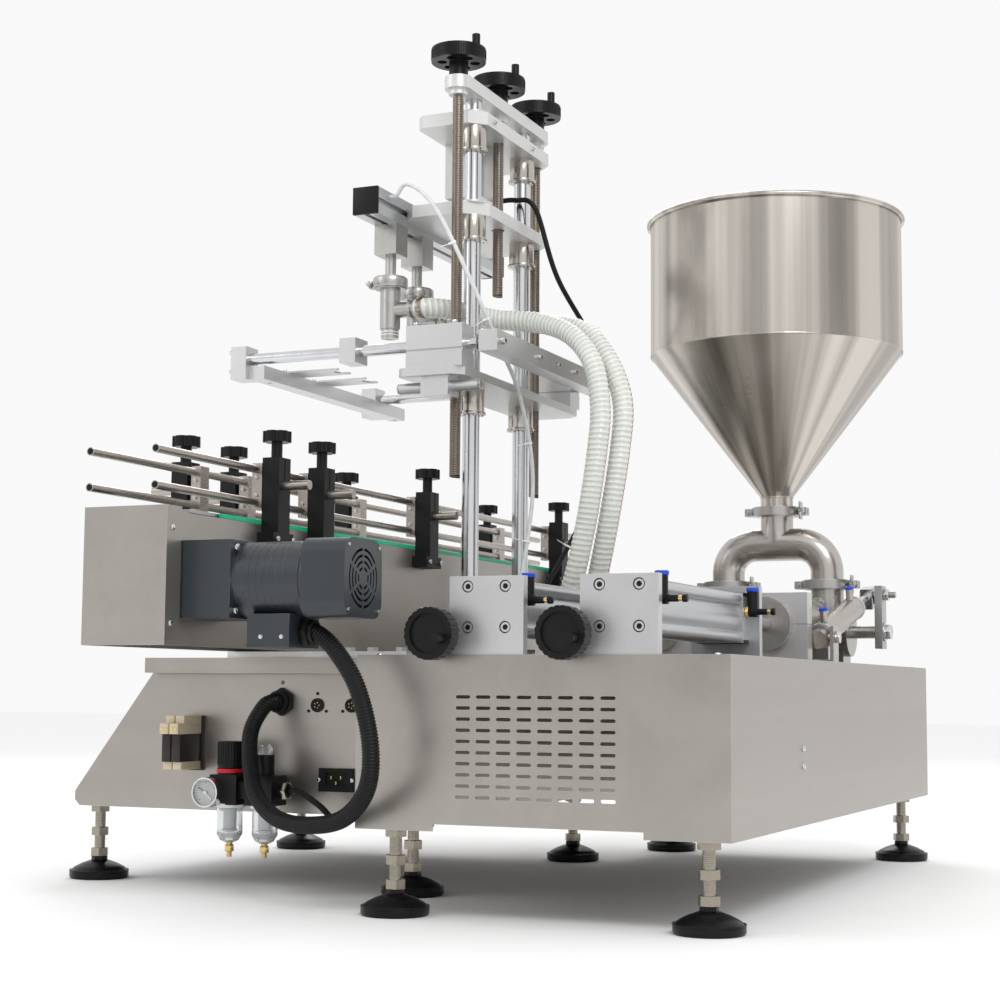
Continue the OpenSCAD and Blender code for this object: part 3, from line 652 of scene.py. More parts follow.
def aim(axis: Way, origin: Point) -> Matrix:
    """The placement that turns +Z to an axis and moves the origin.

    Args:
        axis: Where +Z goes.
        origin: Where the origin goes.

    Returns:
        The placement.
    """
    way = Vector(axis.value if isinstance(axis, Axis) else axis).normalized()
    turn = Vector((0.0, 0.0, 1.0)).rotation_difference(way).to_matrix().to_4x4()
    return Matrix.Translation(Vector(origin)) @ turn


def mark_edges(bm: bmesh.types.BMesh, limit: float = 0.6) -> None:
    """Shades faces smooth and keeps edges sharper than limit crisp."""
    for face in bm.faces:
        face.smooth = True
    for edge in bm.edges:
        edge.smooth = edge.is_manifold and edge.calc_face_angle(0.0) < limit


def round_edges(bm: bmesh.types.BMesh, reach: float, segments: int = 2) -> None:
    """Bevels every sharp edge of a closed shape."""
    sharp = [e for e in bm.edges if e.is_manifold and e.calc_face_angle(0.0) > 0.6]
    if reach > 0 and sharp:
        bmesh.ops.bevel(
            bm,
            geom=sharp,
            offset=reach,
            offset_type="OFFSET",
            segments=segments,
            profile=0.5,
            affect="EDGES",
            clamp_overlap=True,
            material=-1,
        )


def bake(bm: bmesh.types.BMesh, name: str) -> bpy.types.Mesh:
    """Turns a finished bmesh into a mesh and frees it."""
    mesh = bpy.data.meshes.new(name)
    bm.to_mesh(mesh)
    bm.free()
    return mesh


def stand(name: str, data: bpy.types.ID) -> bpy.types.Object:
    """Links a new object with its data to the scene."""
    made = bpy.data.objects.new(name, data)
    bpy.context.scene.collection.objects.link(made)
    return made


def raise_faces(part: bmesh.types.BMesh, height: float) -> None:
    """Extrudes all of a flat part's faces upwards."""
    grown = bmesh.ops.extrude_face_region(part, geom=part.faces[:])
    lifted = [v for v in grown["geom"] if isinstance(v, bmesh.types.BMVert)]
    bmesh.ops.translate(part, vec=(0, 0, height), verts=lifted)


def revolve(
    part: bmesh.types.BMesh, geom: list[Any], angle: float, steps: int, rise: float, merge: bool
) -> None:
    """Spins corners and edges about Z, climbing by rise at each step."""
    bmesh.ops.spin(
        part, geom=geom, cent=(0, 0, 0), axis=(0, 0, 1), dvec=(0, 0, rise), angle=angle,
        steps=steps, use_merge=merge, use_duplicate=False,
    )
    bmesh.ops.remove_doubles(part, verts=part.verts, dist=1e-6)


def around(centre: Point, radius: float, turn: float, z: float) -> Vector:
    """A point on a level circle."""
    return Vector((centre[0] + radius * math.cos(turn), centre[1] + radius * math.sin(turn), z))


class Piece:
    """A mesh piece put together from turned, boxed and threaded solids."""

    def __init__(self, name: str) -> None:
        """Starts an empty piece."""
        self.name = name
        self.bm = bmesh.new()
        self.sockets: list[tuple[Matrix, float]] = []

    def take(self, part: bmesh.types.BMesh, place: Matrix) -> "Piece":
        """Adds a solid at a placement and frees it."""
        bmesh.ops.recalc_face_normals(part, faces=part.faces)
        part.transform(place)
        mesh = bake(part, "part")
        self.bm.from_mesh(mesh)
        bpy.data.meshes.remove(mesh)
        return self

    def turned(
        self,
        profile: Sequence[tuple[float, float]],
        axis: Way,
        origin: Point,
        steps: int = 32,
        reach: float = 0.0,
    ) -> "Piece":
        """Adds a solid of revolution.

        Args:
            profile: Radius and height of each corner in turn, in metres. It
                starts and ends on the axis, or closes on itself.
            axis: The axis it is turned about.
            origin: Where height 0 lies.
            steps: Segments round the axis.
            reach: Bevel of its sharp edges.

        Returns:
            The piece.
        """
        part = bmesh.new()
        corners = [part.verts.new((r, 0.0, h)) for r, h in profile]
        edges = [part.edges.new(pair) for pair in zip(corners, corners[1:])]
        if profile[0][0] > 1e-7 or profile[-1][0] > 1e-7:
            edges.append(part.edges.new((corners[-1], corners[0])))
        revolve(part, corners + edges, FULL_TURN, steps, 0.0, True)
        bmesh.ops.recalc_face_normals(part, faces=part.faces)
        round_edges(part, reach)
        return self.take(part, aim(axis, origin))

    def rod(
        self,
        axis: Way,
        origin: Point,
        radius: float,
        length: float,
        reach: float = 0.0003,
        steps: int = 28,
    ) -> "Piece":
        """Adds a round bar that starts at origin."""
        profile = [(0, 0), (radius, 0), (radius, length), (0, length)]
        return self.turned(profile, axis, origin, steps, reach)

    def ring(
        self,
        axis: Way,
        origin: Point,
        inner: float,
        outer: float,
        length: float,
        reach: float = 0.0003,
    ) -> "Piece":
        """Adds a sleeve that starts at origin."""
        profile = [(inner, 0), (outer, 0), (outer, length), (inner, length)]
        return self.turned(profile, axis, origin, 32, reach)

    def block(self, low: Point, high: Point, reach: float = 0.0006) -> "Piece":
        """Adds a box between two corners."""
        part = bmesh.new()
        bmesh.ops.create_cube(part, size=1.0)
        size = Vector(high) - Vector(low)
        bmesh.ops.scale(part, vec=size, verts=part.verts)
        round_edges(part, min(reach, min(size) * 0.3))
        return self.take(part, Matrix.Translation((Vector(high) + Vector(low)) / 2))

    def prism(
        self,
        axis: Way,
        origin: Point,
        flats: float,
        height: float,
        sides: int = 6,
        bore: float = 0.0,
        reach: float = 0.0004,
    ) -> "Piece":
        """Adds a hexagon or other regular bar, with a bore if asked."""
        part = bmesh.new()
        radius = flats / 2 / math.cos(math.pi / sides)
        bmesh.ops.create_circle(part, cap_ends=True, radius=radius, segments=sides)
        face = part.faces[:]
        if bore:
            bmesh.ops.inset_region(
                part, faces=face, thickness=flats / 2 - bore, use_even_offset=True
            )
            bmesh.ops.delete(part, geom=face, context="FACES_ONLY")
        raise_faces(part, height)
        bmesh.ops.recalc_face_normals(part, faces=part.faces)
        round_edges(part, reach)
        return self.take(part, aim(axis, origin))

    def cap_screw(self, axis: Axis, origin: Point, size: float) -> "Piece":
        """Adds a socket head screw with a hexagon socket, seated at origin."""
        part = bmesh.new()
        bmesh.ops.create_circle(part, cap_ends=True, radius=size * 0.8, segments=24)
        raise_faces(part, size)
        bmesh.ops.recalc_face_normals(part, faces=part.faces)
        round_edges(part, size * 0.08)
        top = max(part.faces, key=lambda f: f.calc_center_median().z)
        bmesh.ops.inset_region(part, faces=[top], thickness=size * 0.30)
        inner = max(part.faces, key=lambda f: (round(f.normal.z, 3), len(f.verts)))
        sunk = bmesh.ops.extrude_discrete_faces(part, faces=[inner])["faces"]
        rim = [v for f in sunk for v in f.verts]
        bmesh.ops.translate(part, vec=(0, 0, -size * 0.5), verts=rim)
        self.sockets.append((aim(axis, origin), size))
        return self.take(part, aim(axis, origin))

    def paint_socket_shade(self, body: str, dress: bpy.types.Material) -> None:
        """Paints shade into the screws' hexagon sockets: a dark piece of their own lines each
        socket floor.
        """
        dark = Piece(f"{self.name}_sockets")
        for place, size in self.sockets:
            part = bmesh.new()
            bmesh.ops.create_circle(part, cap_ends=True, radius=size * 0.44, segments=6)
            raise_faces(part, size * 0.52)
            dark.take(part, place)
        dark.done(body, dress, Slot.BLACK)

    def thread(
        self,
        axis: Way,
        origin: Point,
        radius: float,
        length: float,
        pitch: float,
        depth: float,
        steps: int = 18,
        starts: int = 1,
    ) -> "Piece":
        """Adds a screw thread with closed ends.

        Args:
            axis: The screw's axis.
            origin: Where the thread starts.
            radius: Its outer radius.
            length: Its length.
            pitch: The rise of a turn.
            depth: The depth of the groove.
            steps: Segments of a turn.
            starts: How many grooves run side by side.

        Returns:
            The piece.
        """
        turns = int(length / pitch) - 1
        part = bmesh.new()
        root = radius - depth
        groove = ((root, 0.0), (root, 0.20), (radius, 0.38), (radius, 0.82))
        rows = [(r, (k + share) / starts) for k in range(starts) for r, share in groove]
        rows.append((root, 1.0))
        corners = [part.verts.new((r, 0.0, share * pitch)) for r, share in rows]
        edges = [part.edges.new(pair) for pair in zip(corners, corners[1:])]
        revolve(part, corners + edges, FULL_TURN * turns, steps * turns, pitch / steps, False)
        bmesh.ops.scale(part, vec=(1, 1, length / ((turns + 1) * pitch)), verts=part.verts)
        open_edges = [e for e in part.edges if e.is_boundary]
        bmesh.ops.holes_fill(part, edges=open_edges, sides=0)
        layer = part.verts.layers.float.new("crest")
        for vert in part.verts:
            reach = math.hypot(vert.co.x, vert.co.y)
            vert[layer] = min(1.0, max(0.0, (reach - root) / depth))
        return self.take(part, aim(axis, origin))

    def done(self, body: str, dress: bpy.types.Material, slot: Slot) -> bpy.types.Object:
        """Makes the object, which rides on a body.

        Args:
            body: The CAD body that carries it.
            dress: Its material.
            slot: The record's slot that it belongs to.

        Returns:
            The new object.
        """
        mark_edges(self.bm)
        return adopt(bake(self.bm, self.name), self.name, body, dress, slot)


def adopt(
    mesh: bpy.types.Mesh, name: str, body: str, dress: bpy.types.Material, slot: Slot
) -> bpy.types.Object:
    """Links a finished mesh as a piece of a body."""
    made = stand(name, mesh)
    mesh.materials.append(dress)
    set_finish(made, slot.value)
    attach(made, body)
    LOG.info("%s: %d faces on %s", name, len(mesh.polygons), body)
    return made


@dataclass
class Frame:
    """The loaded CAD frame with the helpers that dress its nodes."""

    data: dict[str, Any]
    finishes: Finishes
    slots: dict[str, str] = field(init=False)
    body: dict[str, str] = field(init=False)

    def __post_init__(self) -> None:
        """Finds each node's body and material slot."""
        self.slots = {s["node"]: s["material_slot"] for s in self.data["record"]["subparts"]}
        bodies = self.data["record"]["behaviour"]["bodies"]
        self.body = {node: body for body, nodes in bodies.items() for node in nodes}

    def low(self, node: str) -> Vector:
        """A node's lowest corner."""
        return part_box(node)[0]

    def high(self, node: str) -> Vector:
        """A node's highest corner."""
        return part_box(node)[1]

    def middle(self, node: str) -> Vector:
        """The middle of a node's box."""
        low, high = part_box(node)
        return (low + high) / 2

    def add(self, piece: Piece, body: str, finish: str, slot: Slot) -> bpy.types.Object:
        """Makes a piece's object in one of the finishes."""
        return piece.done(body, self.finishes[finish], slot)

    def skin(self, node: str, finish: str, reach: float = 0.0) -> bpy.types.Object:
        """Stands a merged copy with soft shading and eased edges for a node.

        Args:
            node: The CAD node.
            finish: The name of its material.
            reach: Bevel of its sharp edges, in metres.

        Returns:
            The copy, which replaces the node.
        """
        bm = bmesh.new()
        bm.from_mesh(self.data["nodes"][node].data)
        bmesh.ops.remove_doubles(bm, verts=bm.verts, dist=2e-6)
        if reach:
            bmesh.ops.dissolve_limit(
                bm,
                angle_limit=math.radians(0.6),
                use_dissolve_boundaries=False,
                verts=bm.verts,
                edges=bm.edges,
            )
            round_edges(bm, reach)
        mark_edges(bm)
        made = stand(node + "_skin", bake(bm, node + "_skin"))
        made.data.materials.append(self.finishes[finish])
        made["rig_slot"] = self.slots[node]
        if reach:
            flat = made.modifiers.new("flat_faces", "WEIGHTED_NORMAL")
            flat.keep_sharp = True
        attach(made, self.body[node])
        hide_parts(node)
        LOG.info("%s dressed as %s", node, finish)
        return made


# ---------------------------------------------------------------- cords


def smooth_route(points: Sequence[Point], spacing: float) -> list[Vector]:
    """Even points on one smooth curve through the route's own points.

    Args:
        points: The route, in millimetres.
        spacing: The distance between the points that come back, in metres.

    Returns:
        The points, in metres.
    """
    knots = [Vector(p) * MM for p in points]
    ends = [knots[0] * 2 - knots[1], *knots, knots[-1] * 2 - knots[-2]]
    dense: list[Vector] = []
    for before, start, stop, after in zip(ends, ends[1:], ends[2:], ends[3:]):
        for step in range(CURVE_STEPS):
            t = step / CURVE_STEPS
            pull = (stop - before) * 0.5 * t + (
                before * 2 - start * 5 + stop * 4 - after
            ) * 0.5 * t * t
            push = (start * 3 - before - stop * 3 + after) * 0.5 * t * t * t
            dense.append(start + pull + push)
    dense.append(knots[-1])
    gaps = [(b - a).length for a, b in zip(dense, dense[1:])]
    total = sum(gaps)
    count = max(8, round(total / spacing))
    even = [dense[0].copy()]
    walked, index = 0.0, 0
    for k in range(1, count):
        goal = total * k / count
        while walked + gaps[index] < goal:
            walked += gaps[index]
            index += 1
        even.append(dense[index].lerp(dense[index + 1], (goal - walked) / gaps[index]))
    even.append(dense[-1].copy())
    return even


def length_of(points: Sequence[Vector]) -> float:
    """The length of a line of points."""
    return sum((b - a).length for a, b in zip(points, points[1:]))


@dataclass
class Cord:
    """A hose or tube swept along a route."""

    name: str
    node: str
    route: Sequence[Point]
    diameter: float
    finish: str
    slot: Slot
    spacing: float
    stiffness: str = "medium"
    sides: int = 16
    wave: Callable[[float, float], float] = lambda along, around: 0.0

    def build(self, frame: Frame, with_pieces: Iterable[str] = ()) -> bpy.types.Object:
        """Args:
            frame: The CAD frame.
            with_pieces: Names of the pieces that sit on it; not used.

        Returns:
            The tube.
        """
        line = smooth_route(self.route, self.spacing)
        bm = bmesh.new()
        uv = bm.loops.layers.uv.new("along")
        rings, travel = self._rings(bm, line)
        for i, (ring, after) in enumerate(zip(rings, rings[1:])):
            for k in range(self.sides):
                n = (k + 1) % self.sides
                face = bm.faces.new((ring[k], ring[n], after[n], after[k]))
                shares = ((i, k), (i, k + 1), (i + 1, k + 1), (i + 1, k))
                for loop, (row, turn) in zip(face.loops, shares):
                    loop[uv].uv = (travel[row], turn / self.sides)
        bm.faces.new(rings[0][::-1])
        bm.faces.new(rings[-1])
        bmesh.ops.recalc_face_normals(bm, faces=bm.faces)
        mark_edges(bm, 1.2)
        made = adopt(bake(bm, self.name), self.name, "base", frame.finishes[self.finish], self.slot)
        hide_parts(self.node)
        every = max(1, round(0.004 / self.spacing))
        path = line[::every] + ([line[-1]] if (len(line) - 1) % every else [])
        round(length_of(line), 3)
        return made

    def _rings(
        self, bm: bmesh.types.BMesh, line: Sequence[Vector]
    ) -> tuple[list[list[bmesh.types.BMVert]], list[float]]:
        """The rings of vertices along a line, without twist."""
        side = Vector((0.0, 0.0, 1.0)).cross(line[1] - line[0])
        if side.length < 2e-6:
            side = Vector((1.0, 0.0, 0.0))
        rings, travel, walked = [], [], 0.0
        for i, point in enumerate(line):
            before, after = line[max(0, i - 1)], line[min(len(line) - 1, i + 1)]
            way = (after - before).normalized()
            side = (side - way * side.dot(way)).normalized()
            lift = way.cross(side)
            walked += (point - line[i - 1]).length if i else 0.0
            travel.append(walked)
            ring = []
            for k in range(self.sides):
                turn = FULL_TURN * k / self.sides
                radius = self.diameter / 2 - self.wave(walked, k / self.sides)
                spoke = side * math.cos(turn) + lift * math.sin(turn)
                ring.append(bm.verts.new(point + spoke * radius))
            rings.append(ring)
        return rings, travel


def helix_wave(along: float, around: float) -> float:
    """How far a spiral hose's wall lies below its helix."""
    return HELIX_DEPTH * (0.5 - 0.5 * math.sin(FULL_TURN * (along / HELIX_PITCH - around)))


def rib_wave(along: float, _around: float) -> float:
    """How far a corrugated sleeve's valleys lie below its ribs."""
    return RIB_DEPTH * (0.5 - 0.5 * math.sin(FULL_TURN * along / RIB_PITCH))


# ---------------------------------------------------------------- sub-assemblies


@dataclass
class Studio:
    """The camera, the pale floor and the soft lights."""

    eye: Point = (1.0804, -2.4436, 0.2586)
    heading: float = 23.76
    rise: float = 5.87
    roll: float = 0.41
    lens: float = 66.98

    def camera(self) -> None:
        """Sets the scene's camera."""
        data = bpy.data.cameras.new("studio_camera")
        data.lens, data.sensor_width, data.sensor_fit = self.lens, 36.0, "HORIZONTAL"
        data.clip_end = 60.0
        made = stand("studio_camera", data)
        turn = (
            Matrix.Rotation(math.radians(self.heading), 4, "Z")
            @ Matrix.Rotation(math.radians(90 + self.rise), 4, "X")
            @ Matrix.Rotation(math.radians(self.roll), 4, "Z")
        )
        made.matrix_world = Matrix.Translation(Vector(self.eye)) @ turn
        bpy.context.scene.camera = made

    def room(self) -> None:
        """Adds the floor, the pale surroundings and the lights."""
        world = bpy.data.worlds.new("studio_world")
        world.use_nodes = True
        back = world.node_tree.nodes["Background"]
        back.inputs["Color"].default_value = (1.0, 1.0, 1.0, 1.0)
        back.inputs["Strength"].default_value = 0.95
        bpy.context.scene.world = world
        bpy.context.scene.view_settings.view_transform = "Standard"
        bm = bmesh.new()
        bmesh.ops.create_grid(bm, x_segments=1, y_segments=1, size=14.0)
        floor = stand("studio_floor", bake(bm, "studio_floor"))
        book = NodeBook("pale_floor")
        haze = book.noise(book.even(3), 2.0)
        colour = book.mix(haze, (0.93, 0.93, 0.93), (0.96, 0.96, 0.96))
        floor.data.materials.append(book.finish(colour, 0.85))
        self._card("flag_left", (-2.6, -1.6, 1.2), (0.0, 0.0, 0.7), (0.7, 2.2))
        self._card("flag_right", (2.7, -0.4, 1.3), (0.2, 0.2, 0.8), (0.8, 2.2))
        self._card("flag_near", (-0.4, -3.4, 1.1), (0.2, 0.0, 0.7), (0.6, 2.0))
        self._lamp("key", (2.4, -2.8, 3.2), (0.1, 0.0, 0.5), 1.6, 60.0)
        self._lamp("fill", (-3.0, -2.2, 2.2), (0.0, 0.0, 0.5), 2.0, 22.0)
        self._lamp("rim", (-1.2, 3.0, 3.0), (0.0, 0.0, 0.7), 1.8, 35.0)

    def _card(self, name: str, spot: Point, target: Point, size: Point) -> None:
        """Stands a dark card that only reflections show."""
        bm = bmesh.new()
        bmesh.ops.create_grid(bm, x_segments=1, y_segments=1, size=0.5)
        bmesh.ops.scale(bm, vec=(size[0], size[1], 1.0), verts=bm.verts)
        way = Vector(target) - Vector(spot)
        way.z = 0.0
        upright = way.to_track_quat("Z", "Y").to_matrix().to_4x4()
        bm.transform(Matrix.Translation(Vector(spot)) @ upright)
        made = stand(name, bake(bm, name))
        book = NodeBook(name + "_cloth")
        weave = book.noise(book.even(300), 2.0)
        colour = book.mix(weave, (0.02, 0.02, 0.02), (0.05, 0.05, 0.05))
        made.data.materials.append(book.finish(colour, 0.9))
        made.visible_camera = False
        made.visible_shadow = False
        made.visible_diffuse = False

    def _lamp(self, name: str, spot: Point, target: Point, size: float, watts: float) -> None:
        """Adds a soft lamp that looks at a point."""
        data = bpy.data.lights.new(name, "AREA")
        data.shape, data.size, data.energy = "DISK", size, watts
        made = stand(name, data)
        way = Vector(target) - Vector(spot)
        turn = way.to_track_quat("-Z", "Y").to_matrix().to_4x4()
        made.matrix_world = Matrix.Translation(Vector(spot)) @ turn


@dataclass
class Hoses:
    """The product hoses, the motor's sleeve and the air tubes."""

    frame: Frame
    motor_route: Sequence[Point] = (
        (22, -590, 324), (36, -590, 324), (62, -591, 305), (92, -592, 262),
        (108, -589, 200), (98, -577, 148), (54, -549, 113), (-10, -515, 101),
        (-75, -476, 104), (-128, -436, 126), (-158, -404, 162), (-172, -382, 205),
        (-166, -362, 236), (-160, -348, 243), (-160, -336, 243),
    )
    near_route: Sequence[Point] = (
        (-120, -26, 818), (-106, -26, 818), (-84, -10, 818), (-58, 24, 815),
        (-24, 52, 809), (34, 56, 802), (98, 34, 776), (142, 12, 728), (158, 2, 662),
        (156, -4, 600), (140, -4, 500), (112, 10, 405), (64, 80, 348), (10, 170, 332),
        (-20, 330, 332), (-16, 470, 334), (30, 570, 344), (110, 615, 352),
        (190, 580, 354), (216, 520, 354), (216, 495, 354),
    )
    far_route: Sequence[Point] = (
        (-120, 62, 818), (-106, 62, 818), (-70, 68, 817), (-30, 90, 815),
        (32, 94, 806), (104, 68, 786), (152, 46, 738), (182, 28, 672), (182, 18, 600),
        (166, 16, 500), (138, 40, 410), (104, 110, 368), (60, 200, 366), (22, 330, 370),
        (24, 460, 376), (80, 580, 396), (220, 632, 398), (340, 600, 370),
        (376, 530, 354), (376, 495, 354),
    )
    lift_route: Sequence[Point] = (
        (-72, 142, 1017), (-72, 150, 1017), (-40, 151, 1017), (-8, 156, 1002),
        (12, 200, 900), (34, 320, 800), (42, 336, 700), (10, 320, 540),
        (-75, 244, 340), (-75, 240, 320), (-75, 240, 300),
    )
    sensor_route: Sequence[Point] = (
        (-144, -70, 978), (-134, -70, 978), (-112, -76, 992), (-62, -88, 950),
        (-14, -76, 850), (9, -30, 765), (10, 60, 690), (14, 100, 560), (10, 50, 380),
        (10, 44, 330), (10, 44, 300),
    )
    supply_route: Sequence[Point] = (
        (-122, -370, 131), (-108, -370, 131), (-80, -366, 114), (-72, -346, 96),
        (-72, -336, 92), (-72, -324, 92),
    )

    def build(self) -> None:
        """Makes the six cords with their bands and ties."""
        ties = self._ties()
        bands = self._bands()
        self._cord("product_hose_near", "hose_near", self.near_route, 0.030, bands[:1])
        self._cord("product_hose_far", "hose_far", self.far_route, 0.030, bands[1:])
        Cord(
            "motor_sleeve", "motor_hose", self.motor_route, 0.021, "sleeve", Slot.CORD,
            RIB_PITCH / 5, "stiff", 20, rib_wave,
        ).build(self.frame)
        for name, node, route, wide, finish, slot, pieces in (
            ("air_tube_lift", "lift_tube", self.lift_route, 0.008, "air", Slot.CORD, ties[1:]),
            (
                "signal_tube", "sensor_tube", self.sensor_route, 0.006, "sensor",
                Slot.WHITE, ties[:1],
            ),
            ("air_tube_supply", "supply_tube", self.supply_route, 0.008, "air", Slot.CORD, ()),
        ):
            Cord(name, node, route, wide, finish, slot, 0.004, "medium", 12).build(
                self.frame, pieces
            )

    def _cord(
        self, name: str, node: str, route: Sequence[Point], wide: float, bands: Sequence[str]
    ) -> None:
        """Sweeps one product hose."""
        Cord(
            name, node, route, wide, "hose", Slot.HOSE, HELIX_PITCH / 6, "stiff", 24, helix_wave
        ).build(self.frame, bands)

    def _bands(self) -> list[str]:
        """Puts a worm drive band round both ends of each product hose."""
        names = []
        for label, route in (("near", self.near_route), ("far", self.far_route)):
            piece = Piece(f"hose_bands_{label}")
            for end, inner in ((route[0], route[1]), (route[-1], route[-2])):
                start = Vector(end) * MM
                way = (Vector(inner) * MM - start).normalized()
                piece.ring(way, start + way * 0.004, 0.0152, 0.0160, 0.009, 0.0002)
                side = Vector((0, 0, 1))
                spot = start + way * 0.0085 + side * 0.0175
                piece.rod(way.cross(side), spot - way.cross(side) * 0.009, 0.0034, 0.016)
                piece.prism(way.cross(side), spot + way.cross(side) * 0.007, 0.007, 0.004)
            made = self.frame.add(piece, "base", "stud", Slot.CLAMP)
            names.append(made.name)
        return names

    def _ties(self) -> list[str]:
        """Puts nylon ties round the thin tubes."""
        names = []
        for label, route, wide, shares in (
            ("signal", self.sensor_route, 0.003, (0.2, 0.34, 0.6, 0.78)),
            ("lift", self.lift_route, 0.004, (0.35, 0.55, 0.75)),
        ):
            line = smooth_route(route, 0.004)
            piece = Piece(f"ties_{label}")
            for share in shares:
                k = round(share * (len(line) - 1))
                way = (line[k + 1] - line[k - 1]).normalized()
                piece.ring(way, line[k] - way * 0.0015, wide, wide + 0.0011, 0.003, 0.0002)
                side = way.orthogonal().normalized()
                lug = line[k] + side * (wide + 0.002)
                piece.rod(side, lug - side * 0.002, 0.0018, 0.005, 0.0003, 10)
                piece.rod(side, lug, 0.0007, 0.016, 0.0001, 6)
            made = self.frame.add(piece, "base", "tie", Slot.WHITE)
            names.append(made.name)
        return names


@dataclass
class Cabinets:
    """Both cabinets, their feet and the small hardware on them."""

    frame: Frame

    def build(self) -> None:
        """Dresses the cabinets and adds their screws and foot threads."""
        for node, finish, reach in (
            ("base_cabinet", "cabinet", 0.0009),
            ("stand_cabinet", "stand", 0.0009),
            ("foot_pads", "rubber", 0.0006),
            ("foot_studs", "stud", 0.0005),
            ("panel_fittings", "black", 0.0005),
        ):
            self.frame.skin(node, finish, reach)
        self._side_screws()
        self._foot_threads()
        self._panel_details()

    def _side_screws(self) -> None:
        """Button screws on the cabinet's right side and the stand's panel."""
        low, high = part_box("base_cabinet")
        piece = Piece("cabinet_screws")
        for z in (high.z - 0.108, high.z - 0.129):
            piece.turned(
                [(0, 0), (0.0042, 0), (0.0042, 0.0008), (0.003, 0.0024), (0, 0.0028)],
                Axis.X, (high.x, -0.219, z), 20, 0.0002,
            )
        panel = self.frame.high("panel_fittings").y
        for x in (-0.054, -0.102):
            piece.turned(
                [(0, 0), (0.003, 0), (0.0026, 0.0014), (0, 0.002)],
                Axis.FRONT, (x, panel - 0.004, 0.144), 16, 0.0002,
            )
        for y, x in product((low.y + 0.006, high.y - 0.006), (low.x + 0.02, high.x - 0.02)):
            piece.turned(
                [(0, 0), (0.004, 0), (0.003, 0.0018), (0, 0.0022)],
                Axis.Z, (x, y + (0.012 if y < 0 else -0.012), high.z), 16, 0.0002,
            )
        self.frame.add(piece, "base", "ground", Slot.TUBE)

    def _foot_threads(self) -> None:
        """Threads on the studs between their nuts."""
        piece = Piece("foot_threads")
        for x, y in self._feet():
            for low, high in ((0.0245, 0.030), (0.0415, 0.0575), (0.0695, 0.0895)):
                if high - low > 0.006:
                    piece.thread(Axis.Z, (x, y, low), 0.0075, high - low, 0.002, 0.0006, 20)
        self.frame.add(piece, "base", "bright", Slot.TUBE)
        rims = Piece("foot_rims")
        for x, y in self._feet():
            rims.ring(Axis.Z, (x, y, 0.0095), 0.0388, 0.0404, 0.0022, 0.0004)
            rims.prism(Axis.Z, (x, y, 0.0235), 0.019, 0.006)
        self.frame.add(rims, "base", "rubber", Slot.RUBBER)

    def _feet(self) -> list[tuple[float, float]]:
        """The middles of the eight feet, four under each cabinet."""
        low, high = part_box("base_cabinet")
        spots = [
            (x, y)
            for x in (low.x + 0.036, high.x - 0.036)
            for y in (low.y + 0.034, high.y - 0.034)
        ]
        left = self.frame.low("foot_pads").x + 0.040
        return spots + [(x, y) for x in (left, 0.013) for y in (-0.286, 0.270)]

    def _panel_details(self) -> None:
        """The gland nut of the sleeve and the pins of the power inlet."""
        panel = self.frame.high("panel_fittings").y
        piece = Piece("panel_nuts")
        piece.prism(Axis.FRONT, (-0.160, panel, 0.243), 0.032, 0.006, 6, 0.0)
        piece.ring(Axis.FRONT, (-0.160, panel - 0.012, 0.243), 0.0106, 0.0142, 0.004)
        self.frame.add(piece, "base", "black", Slot.BLACK)
        pins = Piece("inlet_pins")
        for x, z in ((-0.085, 0.147), (-0.071, 0.147), (-0.078, 0.140)):
            near = (x - 0.001, panel - 0.0035, z - 0.002)
            pins.block(near, (x + 0.001, panel - 0.001, z + 0.002), 0.0002)
        for x in (-0.108, -0.058):
            for k in range(5):
                turn = FULL_TURN * k / 5
                spot = (x + 0.0035 * math.cos(turn), panel - 0.001, 0.239 + 0.0035 * math.sin(turn))
                pins.rod(Axis.FRONT, spot, 0.0006, 0.0018, 0.0, 10)
        self.frame.add(pins, "base", "brass", Slot.GAUGE)


